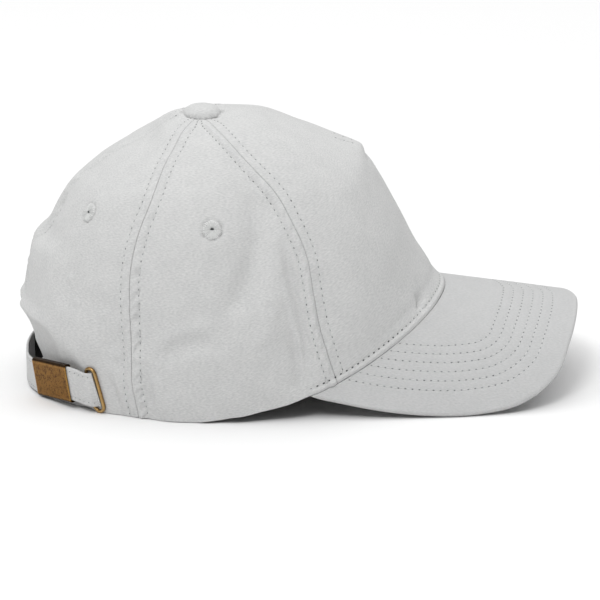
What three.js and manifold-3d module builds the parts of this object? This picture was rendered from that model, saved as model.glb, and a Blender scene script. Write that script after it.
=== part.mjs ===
// A five-panel cap with a curved peak and a cloth strap that a brass slide holds.
// Millimetres, +Z up. The peak points along +X, the wearer's right side is at -Y,
// and the cap stands on the plane Z = 0.

import * as THREE from 'three';
import { mergeVertices } from 'three/addons/utils/BufferGeometryUtils.js';
import Module from 'manifold-3d';

// Driving sizes of the crown.
const crownLength = 202; // front edge to back edge at the head opening
const crownWidth = 166;
const crownHeight = 129.5; // to the cloth under the button
const buttonSetback = 16; // how far the button lies behind the middle of the opening
const plainCloth = 1.5; // side and back panels
const frontCloth = 2.0; // front panel, which is stiffer than the others
const seamGap = 0.3; // kept between any two neighbouring pieces

// Driving sizes of the peak, a flat board bent round a sloping cylinder.
const peakBend = 0.5542 * crownWidth; // radius of the bend
const peakSlope = THREE.MathUtils.degToRad(8.1);
const peakRise = 46.5; // height of the board's top at the middle of the front
const peakThickness = 2.6;

// Driving sizes of the opening at the back, and of the strap and its metal.
const archHalfWidth = 40;
const archHeight = 25;
const strapWidth = 16.6;
const strapCloth = 1.5;
const slideLength = 27;
const slideWall = 0.65;
const ringWire = 1.7;
const ringHeight = 21; // between the wire's centres
const ringWidth = 5.4;

// Driving sizes of the small pieces.
const buttonDiameter = 16.5;
const buttonHeight = 3.2;
const eyeletDiameter = 9;
const eyeletHole = 1.4;
const bandHeight = 30;
const bandCloth = 1.2;

// Seams between the panels: their angle about the button, measured from the front, at
// even steps of the way from the crown's edge up to the button.
const seams = [
  { step: 0.0, front: 51.0, back: 114.0 }, { step: 0.1, front: 53.8, back: 115.5 },
  { step: 0.2, front: 56.0, back: 115.2 }, { step: 0.3, front: 57.0, back: 115.5 },
  { step: 0.4, front: 57.4, back: 116.0 }, { step: 0.5, front: 59.6, back: 114.6 },
  { step: 0.6, front: 62.2, back: 112.2 }, { step: 0.7, front: 68.0, back: 112.3 },
  { step: 0.8, front: 74.5, back: 111.2 }, { step: 0.9, front: 80.0, back: 110.0 },
  { step: 1.0, front: 84.0, back: 110.0 },
];

// Upright profiles of the crown at five angles about the button. Each row is a step
// along the cloth from edge to button: reach is a share of the opening's radius at that
// angle, rise a share of the height above the crown's edge there.
const profiles = [
  {
    name: 'front middle', angle: 0, rows: [
      { reach: 1.000, rise: 0.000 }, { reach: 0.916, rise: 0.159 },
      { reach: 0.850, rise: 0.318 }, { reach: 0.787, rise: 0.477 },
      { reach: 0.726, rise: 0.638 }, { reach: 0.644, rise: 0.798 },
      { reach: 0.524, rise: 0.872 }, { reach: 0.397, rise: 0.940 },
      { reach: 0.265, rise: 0.994 }, { reach: 0.133, rise: 1.010 },
      { reach: 0.000, rise: 1.000 },
    ],
  },
  {
    name: 'front corner', angle: 48, rows: [
      { reach: 1.000, rise: 0.000 }, { reach: 0.993, rise: 0.145 },
      { reach: 0.978, rise: 0.290 }, { reach: 0.948, rise: 0.430 },
      { reach: 0.900, rise: 0.563 }, { reach: 0.825, rise: 0.688 },
      { reach: 0.720, rise: 0.800 }, { reach: 0.590, rise: 0.892 },
      { reach: 0.430, rise: 0.962 }, { reach: 0.235, rise: 0.999 },
      { reach: 0.000, rise: 1.000 },
    ],
  },
  {
    name: 'side', angle: 90, rows: [
      { reach: 1.000, rise: 0.000 }, { reach: 1.018, rise: 0.128 },
      { reach: 1.026, rise: 0.259 }, { reach: 1.020, rise: 0.420 },
      { reach: 0.990, rise: 0.550 }, { reach: 0.930, rise: 0.678 },
      { reach: 0.815, rise: 0.793 }, { reach: 0.650, rise: 0.888 },
      { reach: 0.462, rise: 0.957 }, { reach: 0.243, rise: 0.996 },
      { reach: 0.000, rise: 1.000 },
    ],
  },
  {
    name: 'back quarter', angle: 125, rows: [
      { reach: 0.985, rise: 0.000 }, { reach: 1.012, rise: 0.135 },
      { reach: 1.040, rise: 0.268 }, { reach: 1.035, rise: 0.410 },
      { reach: 0.990, rise: 0.550 }, { reach: 0.910, rise: 0.682 },
      { reach: 0.790, rise: 0.790 }, { reach: 0.620, rise: 0.870 },
      { reach: 0.420, rise: 0.942 }, { reach: 0.210, rise: 0.996 },
      { reach: 0.000, rise: 1.000 },
    ],
  },
  {
    name: 'back middle', angle: 180, rows: [
      { reach: 0.975, rise: 0.000 }, { reach: 0.962, rise: 0.178 },
      { reach: 1.047, rise: 0.310 }, { reach: 0.993, rise: 0.420 },
      { reach: 0.932, rise: 0.550 }, { reach: 0.800, rise: 0.690 },
      { reach: 0.665, rise: 0.793 }, { reach: 0.492, rise: 0.875 },
      { reach: 0.312, rise: 0.945 }, { reach: 0.135, rise: 0.995 },
      { reach: 0.000, rise: 1.000 },
    ],
  },
];

// The board's outer edge, measured flat about a point on its middle line that lies
// ahead of the middle of the opening, and the bearing at which its corners end. A radius
// is a share of the crown's length along the cap, and of peakSpan across it.
const peakCentre = 0.1485 * crownLength;
const peakSpan = 1.2169 * crownWidth;
const peakCorner = 86;
const peakOutline = [
  { bearing: 0, radius: 0.6733 }, { bearing: 10, radius: 0.6678 },
  { bearing: 20, radius: 0.6688 }, { bearing: 30, radius: 0.6762 },
  { bearing: 40, radius: 0.6550 }, { bearing: 50, radius: 0.6054 },
  { bearing: 60, radius: 0.5545 }, { bearing: 70, radius: 0.5139 },
  { bearing: 80, radius: 0.4842 }, { bearing: 90, radius: 0.4673 },
];

// Dents and folds of the soft cloth. Each runs from one place on the crown to another,
// a place being an angle about the button (minus on the wearer's right) and a step up
// the cloth. The depth is inward, and a minus depth stands out.
const folds = [
  { name: 'right side dent', from: -71.5, fromStep: 0.554, to: -81.0, toStep: 0.354,
    width: 11, depth: 2.2 },
  { name: 'right fold by the front seam', from: -64.5, fromStep: 0.346, to: -63.5,
    toStep: 0.054, width: 5, depth: 1.2 },
  { name: 'right arc fold', from: -106.5, fromStep: 0.233, to: -85.0, toStep: 0.283,
    width: 7, depth: 1.2 },
  { name: 'right roll above the strap', from: -150.0, fromStep: 0.26, to: -126.0,
    toStep: 0.24, width: 9, depth: -0.8 },
  { name: 'right crease over the peak', from: -19.5, fromStep: 0.033, to: -22.0,
    toStep: 0.108, width: 5, depth: 0.8 },
  { name: 'dent high on the back', from: -176.0, fromStep: 0.479, to: -172.0,
    toStep: 0.438, width: 8, depth: 2.2 },
  { name: 'pull along the back seam', from: -178.0, fromStep: 0.400, to: -178.0,
    toStep: 0.200, width: 8, depth: 1.3 },
  { name: 'left bulge over the arch', from: 168.0, fromStep: 0.225, to: 158.0,
    toStep: 0.240, width: 12, depth: -1.4 },
  { name: 'left side dent', from: 73.0, fromStep: 0.530, to: 84.0, toStep: 0.330,
    width: 12, depth: 1.8 },
  { name: 'left fold by the front seam', from: 65.0, fromStep: 0.330, to: 64.0,
    toStep: 0.060, width: 5, depth: 1.0 },
  { name: 'left arc fold', from: 104.0, fromStep: 0.220, to: 84.0, toStep: 0.260,
    width: 8, depth: 1.0 },
];

// How the strap lies on the crown: at each angle, how far its inner face stands off the
// cloth, how high its lower edge is, and how much it leans out with height. The strap
// ends in the ring on the right, and is sewn down at its other end on the left.
const strapStations = [
  { angle: -129.0, lift: 0.8, low: 3.3, lean: 0.12 },
  { angle: -129.9, lift: 1.0, low: 3.3, lean: 0.12 },
  { angle: -130.9, lift: 2.5, low: 3.3, lean: 0.12 },
  { angle: -132.6, lift: 2.7, low: 3.4, lean: 0.12 },
  { angle: -135.5, lift: 2.4, low: 3.8, lean: 0.12 },
  { angle: -138.5, lift: 2.7, low: 4.2, lean: 0.12 },
  { angle: -157.5, lift: 3.2, low: 1.6, lean: 0.12 },
  { angle: -161.0, lift: 3.0, low: 1.2, lean: 0.11 },
  { angle: -165.0, lift: 2.8, low: 0.9, lean: 0.08 },
  { angle: -170.0, lift: 2.3, low: 0.6, lean: 0.03 },
  { angle: -175.0, lift: 1.8, low: 0.3, lean: 0.00 },
  { angle: -180.0, lift: 1.5, low: 0.3, lean: 0.00 },
  { angle: -185.0, lift: 1.4, low: 0.3, lean: 0.00 },
  { angle: -190.0, lift: 1.3, low: 0.4, lean: 0.02 },
  { angle: -197.0, lift: 1.1, low: 0.7, lean: 0.05 },
  { angle: -204.0, lift: 0.9, low: 1.2, lean: 0.08 },
  { angle: -211.0, lift: 0.7, low: 1.8, lean: 0.10 },
  { angle: -217.0, lift: 0.5, low: 2.2, lean: 0.12 },
  { angle: -222.0, lift: 0.5, low: 2.4, lean: 0.12 },
];
const slideFrom = -138.5; // angles at which the strap enters and leaves the slide
const slideTo = -157.5;
const ringAngle = -129.9;
const ringMiddle = 11.4; // height of the ring's middle
const ringTilt = 13; // degrees, its top towards the back

// Colours and finishes.
const cloth = { color: 0xd0d1cf, roughness: 0.95, metalness: 0 };
const blackCloth = { color: 0x1b1b1c, roughness: 0.9, metalness: 0 };
const brass = { color: 0x7d6238, roughness: 0.45, metalness: 1 };

const wasm = await Module();
wasm.setup();

const radians = THREE.MathUtils.degToRad;

// Shape of the crown's outer face

function hermite(b, c, slopeIn, slopeOut, t) {
  const t2 = t * t;
  const t3 = t2 * t;
  return (2 * t3 - 3 * t2 + 1) * b + (t3 - 2 * t2 + t) * slopeIn
    + (3 * t2 - 2 * t3) * c + (t3 - t2) * slopeOut;
}

// Cubic through evenly spaced values.
function along(values, share) {
  const last = values.length - 1;
  const at = Math.min(Math.max(share, 0), 1) * last;
  const i = Math.min(Math.floor(at), last - 1);
  const b = values[i];
  const c = values[i + 1];
  const a = i > 0 ? values[i - 1] : 2 * b - c;
  const d = i < last - 1 ? values[i + 2] : 2 * c - b;
  return hermite(b, c, (c - a) / 2, (d - b) / 2, at - i);
}

// A profile value at any angle, smooth from one profile to the next.
function profileAt(column, angle, share) {
  const end = profiles.length - 1;
  const a = Math.abs(angle) > 180 ? 360 - Math.abs(angle) : Math.abs(angle);
  let i = 0;
  while (i < end - 1 && a > profiles[i + 1].angle) i += 1;
  const value = (k) => {
    const row = k < 0 ? -k : k > end ? 2 * end - k : k;
    return along(profiles[row].rows.map((entry) => entry[column]), share);
  };
  const place = (k) => {
    if (k < 0) return -profiles[-k].angle;
    if (k > end) return 360 - profiles[2 * end - k].angle;
    return profiles[k].angle;
  };
  const span = place(i + 1) - place(i);
  const slope = (k) => (value(k + 1) - value(k - 1)) / (place(k + 1) - place(k - 1)) * span;
  return hermite(value(i), value(i + 1), slope(i), slope(i + 1), (a - place(i)) / span);
}

// Distance from the button's axis to the ellipse of the head opening, in plan.
function openingRadius(angle) {
  const a = crownLength / 2;
  const b = crownWidth / 2;
  const c = Math.cos(radians(angle));
  const s = Math.sin(radians(angle));
  const k = (c / a) ** 2 + (s / b) ** 2;
  const half = buttonSetback * c / a ** 2;
  return (half + Math.sqrt(half ** 2 + k * (1 - (buttonSetback / a) ** 2))) / k;
}

// Height of the board's top face over a plan point.
function peakTop(x, y) {
  const side = Math.min(Math.abs(y), peakBend * 0.995);
  const drop = peakBend - Math.sqrt(peakBend ** 2 - side ** 2);
  return peakRise - (x - crownLength / 2) * Math.tan(peakSlope) - drop;
}

// Height of the crown's edge: on the board at the front, down to zero at the sides.
function edgeHeight(angle) {
  const r = openingRadius(angle);
  const x = r * Math.cos(radians(angle)) - buttonSetback;
  const y = r * Math.sin(radians(angle));
  const steep = Math.abs(y) / Math.sqrt(Math.max(peakBend ** 2 - y ** 2, 1));
  const clear = 1.15 * seamGap * Math.hypot(1, steep, Math.tan(peakSlope));
  const ahead = THREE.MathUtils.smoothstep(x, -0.109 * crownLength, 0.1584 * crownLength);
  return (peakTop(x, y) + clear) * ahead;
}

function smoothCrown(angle, share) {
  const reach = openingRadius(angle) * profileAt('reach', angle, share);
  const low = edgeHeight(angle);
  return new THREE.Vector3(
    reach * Math.cos(radians(angle)) - buttonSetback,
    reach * Math.sin(radians(angle)),
    low + (crownHeight - low) * profileAt('rise', angle, share),
  );
}

function normalOf(surface, angle, share) {
  const da = 0.4;
  const ds = 0.004;
  const up = surface(angle, share + ds).sub(surface(angle, share - ds));
  const round = surface(angle + da, share).sub(surface(angle - da, share));
  return round.cross(up).normalize();
}

const foldLines = folds.map((fold) => ({
  line: new THREE.Line3(smoothCrown(fold.from, fold.fromStep), smoothCrown(fold.to, fold.toStep)),
  width: fold.width,
  depth: fold.depth,
}));

// The crown's outer face with its dents and folds, which die out near the crown's edge.
function crownFace(angle, share) {
  const place = smoothCrown(angle, share);
  const nearest = new THREE.Vector3();
  let inward = 0;
  for (const fold of foldLines) {
    fold.line.closestPointToPoint(place, true, nearest);
    inward += fold.depth * Math.exp(-((nearest.distanceTo(place) / fold.width) ** 2));
  }
  inward *= THREE.MathUtils.smoothstep(share, 0, 0.06);
  if (Math.abs(inward) < 1e-6) return place;
  return place.addScaledVector(normalOf(smoothCrown, angle, share), -inward);
}

// A point this far inside the crown's outer face.
function crownInside(angle, share, inward) {
  const s = Math.min(Math.max(share, 0.004), 0.996);
  return crownFace(angle, share).addScaledVector(normalOf(crownFace, angle, s), -inward);
}

// The step up the cloth at which a rising or falling measure of the face reaches a value.
function stepWhere(measure, angle, value, low, high) {
  const rising = measure(crownFace(angle, high)) > measure(crownFace(angle, low));
  for (let i = 0; i < 30; i += 1) {
    const middle = (low + high) / 2;
    if ((measure(crownFace(angle, middle)) < value) === rising) low = middle;
    else high = middle;
  }
  return (low + high) / 2;
}

const planRadius = (point) => Math.hypot(point.x + buttonSetback, point.y);
const height = (point) => point.z;

// Closed solids from grids of points

// A solid between two grids of the same size. Each grid is a list of columns, and seen
// from outside the columns run to the right and each column runs upward.
function solidBetween(outer, inner) {
  const columns = outer.length;
  const rows = outer[0].length;
  const points = [...outer.flat(), ...inner.flat()];
  const at = (side, i, j) => side * columns * rows + i * rows + j;
  const index = [];
  const quad = (a, b, c, d) => index.push(a, b, c, a, c, d);
  for (let i = 0; i < columns - 1; i += 1) {
    for (let j = 0; j < rows - 1; j += 1) {
      quad(at(0, i, j), at(0, i + 1, j), at(0, i + 1, j + 1), at(0, i, j + 1));
      quad(at(1, i, j), at(1, i, j + 1), at(1, i + 1, j + 1), at(1, i + 1, j));
    }
    quad(at(0, i, 0), at(1, i, 0), at(1, i + 1, 0), at(0, i + 1, 0));
    const j = rows - 1;
    quad(at(0, i, j), at(0, i + 1, j), at(1, i + 1, j), at(1, i, j));
  }
  for (let j = 0; j < rows - 1; j += 1) {
    quad(at(0, 0, j), at(0, 0, j + 1), at(1, 0, j + 1), at(1, 0, j));
    const i = columns - 1;
    quad(at(0, i, j), at(1, i, j), at(1, i, j + 1), at(0, i, j + 1));
  }
  return geometryOf(points, index);
}

function geometryOf(points, index) {
  const geometry = new THREE.BufferGeometry();
  const flat = points.flatMap((point) => [point.x, point.y, point.z]);
  geometry.setAttribute('position', new THREE.Float32BufferAttribute(flat, 3));
  geometry.setIndex(index);
  return geometry;
}

// The same geometry with its shared corners merged, so that it is one closed body.
function closed(geometry) {
  geometry.deleteAttribute('normal');
  geometry.deleteAttribute('uv');
  return mergeVertices(geometry, 1e-4);
}

function without(geometry, cutters) {
  const solid = (shape) => new wasm.Manifold(new wasm.Mesh({
    numProp: 3,
    vertProperties: new Float32Array(shape.attributes.position.array),
    triVerts: new Uint32Array(shape.index.array),
  }));
  let body = solid(geometry);
  for (const cutter of cutters) body = body.subtract(solid(cutter));
  const mesh = body.getMesh();
  const cut = new THREE.BufferGeometry();
  cut.setAttribute('position', new THREE.Float32BufferAttribute(mesh.vertProperties, 3));
  cut.setIndex(Array.from(mesh.triVerts));
  return cut;
}

const steps = (count, value) => Array.from({ length: count + 1 }, (_, i) => value(i / count));

// Panels

const seamAngle = (name, share) => along(seams.map((row) => row[name]), share);

// Angle of a panel's edge, half a gap away from the seam line.
function panelEdge(side, name, share, towards) {
  const line = name === 'middle' ? 180 : seamAngle(name, share);
  const r = Math.max(planRadius(smoothCrown(line, share)), 2);
  return side * (line + towards * THREE.MathUtils.radToDeg(seamGap / 2 / r));
}

// Step at which a column of the back panels begins, on the arch or on the crown's edge.
function archStep(angle) {
  let share = 0;
  for (let i = 0; i < 12; i += 1) {
    const y = Math.abs(smoothCrown(angle, share).y);
    if (y >= archHalfWidth) return 0;
    const z = archHeight * Math.sqrt(1 - (y / archHalfWidth) ** 2);
    share = stepWhere(height, angle, z, 0, 0.4);
  }
  return share;
}

const topRadius = buttonDiameter / 4; // the panels stop under the button, round its shank

// A panel between two edges given as angles at a share of the way up. Its columns sit at
// the listed shares of the way from the first edge to the second.
function panel(firstEdge, secondEdge, columns, rows, thickness, begin) {
  const grid = (inward) => columns.map((across) => {
    const angleAt = (share) => {
      const first = firstEdge(share);
      return first + (secondEdge(share) - first) * across;
    };
    const low = begin ? begin(angleAt(0)) : 0;
    const high = stepWhere(planRadius, angleAt(0.95), topRadius, 0.8, 1);
    return steps(rows, (t) => {
      const share = low + (high - low) * t;
      const point = crownInside(angleAt(share), share, inward);
      if (share === 0) point.z = crownFace(angleAt(0), 0).z; // the hem's edge is level
      return point;
    });
  });
  return solidBetween(grid(0), grid(thickness));
}

const evenly = (count) => steps(count, (t) => t);

function frontPanel() {
  const right = (share) => panelEdge(-1, 'front', share, -1);
  const left = (share) => panelEdge(1, 'front', share, -1);
  return panel(right, left, evenly(26), 20, frontCloth);
}

function sidePanel(side) {
  const front = (share) => panelEdge(side, 'front', share, 1);
  const back = (share) => panelEdge(side, 'back', share, -1);
  return side < 0
    ? panel(back, front, evenly(14), 18, plainCloth)
    : panel(front, back, evenly(14), 18, plainCloth);
}

// The back panels' columns are even up to the arch's foot, then follow its curve.
function backPanel(side) {
  const outer = (share) => panelEdge(side, 'back', share, 1);
  const middle = (share) => panelEdge(side, 'middle', share, -1);
  let foot = 140;
  while (smoothCrown(foot, 0).y > archHalfWidth) foot += 0.05;
  const from = outer(0) * side;
  const to = middle(0) * side;
  const columns = [];
  for (let i = 0; i < 7; i += 1) columns.push((foot - from) * (i / 7) / (to - from));
  for (let i = 0; i <= 7; i += 1) {
    const y = archHalfWidth * Math.cos(radians(i / 7 * 90)) * 0.9995;
    let angle = foot - 1;
    while (angle < to && smoothCrown(angle, 0.1).y > y) angle += 0.05;
    columns.push(i === 7 ? 1 : (Math.max(angle, foot + 0.05) - from) / (to - from));
  }
  const begin = (angle) => archStep(Math.abs(angle));
  if (side > 0) return panel(outer, middle, columns, 17, plainCloth, begin);
  const turned = columns.map((across) => 1 - across).reverse();
  return panel(middle, outer, turned, 17, plainCloth, begin);
}

// Peak

function peakPoint(bearing, outward) {
  const c = Math.cos(radians(bearing));
  const s = Math.sin(radians(bearing));
  const place = (r) => {
    const y = peakBend * Math.sin(r * s * peakSpan / peakBend);
    return new THREE.Vector2(peakCentre + r * c * crownLength, y);
  };
  const outer = along(peakOutline.map((row) => row.radius), Math.abs(bearing) / 90);
  let low = 0;
  let high = outer;
  for (let i = 0; i < 30; i += 1) {
    const middle = place((low + high) / 2);
    const inside = Math.hypot(2 * middle.x / crownLength, 2 * middle.y / crownWidth) < 1;
    if (inside) low = (low + high) / 2;
    else high = (low + high) / 2;
  }
  const plan = place(low + (outer - low) * outward);
  return new THREE.Vector3(plan.x, plan.y, peakTop(plan.x, plan.y));
}

function peakUnderside(bearing, outward) {
  const top = peakPoint(bearing, outward);
  const level = Math.sqrt(peakBend ** 2 - Math.min(top.y ** 2, (peakBend * 0.995) ** 2));
  const normal = new THREE.Vector3(Math.tan(peakSlope), top.y / level, 1).normalize();
  return top.addScaledVector(normal, -peakThickness);
}

function peak() {
  const grid = (point) => steps(40, (t) => {
    const bearing = peakCorner * (2 * t - 1);
    return steps(6, (outward) => point(bearing, 1 - outward));
  });
  return solidBetween(grid(peakPoint), grid(peakUnderside));
}

// Sweatband inside the crown's edge, open where the arch is

function sweatband() {
  const ends = 148;
  const clear = (angle) => {
    const mixed = THREE.MathUtils.smoothstep(Math.abs(angle), 62, 74);
    return frontCloth + (plainCloth - frontCloth) * mixed + 1.4 * seamGap;
  };
  const grid = (extra) => steps(64, (t) => {
    const angle = ends * (2 * t - 1);
    const low = stepWhere(height, angle, edgeHeight(angle) + 4 * seamGap, 0, 0.4);
    const high = stepWhere(height, angle, edgeHeight(angle) + bandHeight, 0, 0.6);
    return steps(3, (up) => crownInside(angle, low + (high - low) * up, clear(angle) + extra));
  });
  return solidBetween(grid(0), grid(bandCloth));
}

// Strap, slide and ring

// Plan radius of the crown's face at an angle and height.
function faceRadius(angle, z) {
  if (z <= height(crownFace(angle, 0))) return planRadius(crownFace(angle, 0));
  return planRadius(crownFace(angle, stepWhere(height, angle, z, 0, 0.4)));
}

// Plan point of the strap's inner face at its lower edge.
function strapFoot({ angle, lift, low, lean }) {
  let r = 0;
  for (let k = 0; k <= 8; k += 1) {
    const z = strapWidth * k / 8;
    r = Math.max(r, faceRadius(angle, low + z) - lean * z);
  }
  const out = r + seamGap / 2 + lift;
  return new THREE.Vector2(
    out * Math.cos(radians(angle)) - buttonSetback,
    out * Math.sin(radians(angle)),
  );
}

const strapPath = strapStations.map((station) => ({ ...station, foot: strapFoot(station) }));
strapPath.forEach((station, i) => {
  const before = strapPath[Math.max(i - 1, 0)].foot;
  const after = strapPath[Math.min(i + 1, strapPath.length - 1)].foot;
  const run = after.clone().sub(before).normalize();
  station.out = new THREE.Vector2(-run.y, run.x);
});

// The strap is straight inside the slide.
const slideEntry = strapPath.find((station) => station.angle === slideFrom);
const slideExit = strapPath.find((station) => station.angle === slideTo);
const slideRun = slideExit.foot.clone().sub(slideEntry.foot).normalize();
slideEntry.out = new THREE.Vector2(-slideRun.y, slideRun.x);
slideExit.out = slideEntry.out.clone();

function strapPoint(station, up, outward) {
  const z = strapWidth * up;
  const out = outward + station.lean * z;
  const end = THREE.MathUtils.smoothstep(station.angle, slideFrom + 2.5, ringAngle);
  const shear = end * Math.tan(radians(ringTilt)) * (z - strapWidth / 2);
  return new THREE.Vector3(
    station.foot.x + station.out.x * out + station.out.y * shear,
    station.foot.y + station.out.y * out - station.out.x * shear,
    station.low + z,
  );
}

function strap() {
  const grid = (outward) => strapPath
    .map((station) => steps(2, (up) => strapPoint(station, up, outward)))
    .reverse();
  return solidBetween(grid(strapCloth), grid(0));
}

// A flat sleeve round the strap.
function slide() {
  const centre = (station) => strapPoint(station, 0.5, strapCloth / 2);
  const from = centre(slideEntry);
  const to = centre(slideExit);
  const run = to.clone().sub(from).normalize();
  const rise = strapPoint(slideEntry, 1, 0).sub(strapPoint(slideEntry, 0, 0));
  const out = rise.clone().cross(run).normalize();
  const up = run.clone().cross(out).normalize();
  const play = 1.2 * seamGap;
  const frame = (more) => {
    const w = strapWidth / 2 + play + more;
    const d = strapCloth / 2 + play + more;
    return [[-w, -d], [w, -d], [w, d], [-w, d]].map(([a, b]) => new THREE.Vector2(a, b));
  };
  const section = new THREE.Shape(frame(slideWall));
  section.holes.push(new THREE.Path(frame(0)));
  const geometry = new THREE.ExtrudeGeometry(section, { depth: slideLength, bevelEnabled: false });
  const middle = from.add(to).multiplyScalar(0.5).addScaledVector(run, -slideLength / 2);
  const turn = new THREE.Matrix4().makeBasis(up, out, run.clone());
  if (turn.determinant() < 0) turn.makeBasis(up.clone().negate(), out, run);
  geometry.applyMatrix4(turn.setPosition(middle));
  return closed(geometry);
}

// An oblong loop of wire lying on the cloth.
function ring() {
  const lift = ringWire / 2 + 1.1 * seamGap;
  const straight = ringHeight / 2 - ringWidth / 2;
  const loop = [];
  const arc = 7;
  for (const end of [1, -1]) {
    for (let k = 0; k <= arc; k += 1) {
      const turn = Math.PI * (k / arc);
      loop.push(new THREE.Vector2(
        end * Math.cos(turn) * ringWidth / 2,
        end * (straight + Math.sin(turn) * ringWidth / 2),
      ));
    }
  }
  const tilt = radians(ringTilt);
  const onCloth = (flat, out) => {
    const across = flat.x * Math.cos(tilt) - flat.y * Math.sin(tilt);
    const z = ringMiddle + flat.x * Math.sin(tilt) + flat.y * Math.cos(tilt);
    const r = planRadius(smoothCrown(ringAngle, 0.1));
    const angle = ringAngle + THREE.MathUtils.radToDeg(across / r);
    const share = stepWhere(height, angle, Math.max(z, 0.5), 0, 0.4);
    return crownInside(angle, share, -out);
  };
  const path = loop.map((flat) => onCloth(flat, lift));
  const normals = loop.map((flat, i) => onCloth(flat, lift + 1).sub(path[i]).normalize());
  const sides = 8;
  const points = [];
  path.forEach((point, i) => {
    const next = path[(i + 1) % path.length];
    const last = path[(i + path.length - 1) % path.length];
    const run = next.clone().sub(last).normalize();
    const side = run.cross(normals[i]).normalize();
    for (let k = 0; k < sides; k += 1) {
      const turn = 2 * Math.PI * k / sides;
      points.push(point.clone()
        .addScaledVector(side, Math.cos(turn) * ringWire / 2)
        .addScaledVector(normals[i], Math.sin(turn) * ringWire / 2));
    }
  });
  const index = [];
  path.forEach((_, i) => {
    for (let k = 0; k < sides; k += 1) {
      const a = i * sides + k;
      const b = i * sides + (k + 1) % sides;
      const c = ((i + 1) % path.length) * sides + (k + 1) % sides;
      const d = ((i + 1) % path.length) * sides + k;
      index.push(a, d, c, a, c, b);
    }
  });
  return geometryOf(points, index);
}

// Button and eyelets

// A low dome whose underside clears the cloth round the button.
function button() {
  const r = buttonDiameter / 2;
  let rest = 0;
  for (let a = 0; a < 360; a += 15) {
    for (const share of [0.9, 0.93, 0.96, 0.99]) {
      const point = crownFace(a - 180, share);
      if (planRadius(point) < r + 1) rest = Math.max(rest, point.z);
    }
  }
  const base = rest + seamGap;
  const profile = [
    [0, base], [r * 0.86, base], [r, base + buttonHeight * 0.28],
    [r * 0.94, base + buttonHeight * 0.6], [r * 0.72, base + buttonHeight * 0.86],
    [r * 0.38, base + buttonHeight * 0.98], [0, base + buttonHeight],
  ].map(([x, z]) => new THREE.Vector2(x, z));
  const geometry = new THREE.LatheGeometry(profile, 24);
  geometry.rotateX(Math.PI / 2);
  geometry.scale(1, -1, 1);
  return turnedOut(closed(geometry)).translate(-buttonSetback, 0, 0);
}

// A lathed body in its own frame, turned so that its faces point out.
function turnedOut(geometry) {
  const p = geometry.attributes.position;
  const index = Array.from(geometry.index.array);
  const corner = (i) => new THREE.Vector3().fromBufferAttribute(p, i);
  let volume = 0;
  for (let i = 0; i < index.length; i += 3) {
    const [a, b, c] = [corner(index[i]), corner(index[i + 1]), corner(index[i + 2])];
    volume += a.dot(b.cross(c));
  }
  if (volume < 0) {
    for (let i = 0; i < index.length; i += 3) {
      [index[i + 1], index[i + 2]] = [index[i + 2], index[i + 1]];
    }
    geometry.setIndex(index);
  }
  return geometry;
}

// Places on the crown of the stitched eyelets, as angle and step up the cloth.
const eyeletPlaces = {
  side: { angle: 88.0, step: 0.521 },
  back: { angle: 141.5, step: 0.521 },
};

function eyeletFrame(side, place) {
  const point = crownFace(side * place.angle, place.step);
  const normal = normalOf(crownFace, side * place.angle, place.step);
  const turn = new THREE.Quaternion().setFromUnitVectors(new THREE.Vector3(0, 0, 1), normal);
  return new THREE.Matrix4().compose(point, turn, new THREE.Vector3(1, 1, 1));
}

function lathedAlongZ(profile, segments, frame) {
  const geometry = new THREE.LatheGeometry(profile.map(([x, z]) => new THREE.Vector2(x, z)), segments);
  geometry.rotateX(Math.PI / 2);
  return turnedOut(closed(geometry)).applyMatrix4(frame);
}

function eyelet(side, place) {
  const r = eyeletDiameter / 2;
  const hole = eyeletHole / 2;
  const profile = [
    [hole, -plainCloth], [r, -plainCloth], [r, 0.1], [r * 0.8, 0.5], [hole * 1.8, 0.4],
    [hole, -0.2], [hole, -plainCloth],
  ];
  return lathedAlongZ(profile, 14, eyeletFrame(side, place));
}

function eyeletCutter(side, place) {
  const r = eyeletDiameter / 2 + seamGap;
  const deep = 3 * plainCloth;
  const profile = [[0, -deep], [r, -deep], [r, deep], [0, deep]];
  return lathedAlongZ(profile, 18, eyeletFrame(side, place));
}

// Assembly

const cap = new THREE.Group();

function add(name, geometry, finish) {
  const mesh = new THREE.Mesh(geometry, new THREE.MeshStandardMaterial(finish));
  mesh.name = name;
  cap.add(mesh);
}

const sides = [{ name: 'right', side: -1 }, { name: 'left', side: 1 }];

add('front_panel', frontPanel(), cloth);
for (const { name, side } of sides) {
  const { side: onSide, back: onBack } = eyeletPlaces;
  add(`side_panel_${name}`, without(sidePanel(side), [eyeletCutter(side, onSide)]), cloth);
  add(`back_panel_${name}`, without(backPanel(side), [eyeletCutter(side, onBack)]), cloth);
  add(`eyelet_side_${name}`, eyelet(side, onSide), cloth);
  add(`eyelet_back_${name}`, eyelet(side, onBack), cloth);
}
add('peak', peak(), cloth);
add('button', button(), cloth);
add('sweatband', sweatband(), blackCloth);
add('strap', strap(), cloth);
add('strap_slide', slide(), brass);
add('strap_ring', ring(), brass);

// The cap stands on Z = 0 with the middle of its footprint at the origin.
const box = new THREE.Box3().setFromObject(cap);
const middle = box.getCenter(new THREE.Vector3());
cap.position.set(-middle.x, -middle.y, -box.min.z);
cap.updateMatrixWorld(true);

export default cap;
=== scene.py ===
"""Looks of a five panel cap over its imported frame.

The classes work in millimetres in the crown's own frame: X runs to the front, Y to the
wearer's left, and the origin is the middle of the head opening. Meshes are in metres.
"""

from __future__ import annotations

import logging
import math
from dataclasses import dataclass, field
from enum import Enum
from typing import Callable, Sequence

import bmesh
import bpy
import numpy as np
from bmesh.types import BMesh
from bpy.types import Material, Mesh, NodeSocket, NodeTree, Object
from mathutils import Matrix, Vector, kdtree, noise


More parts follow.
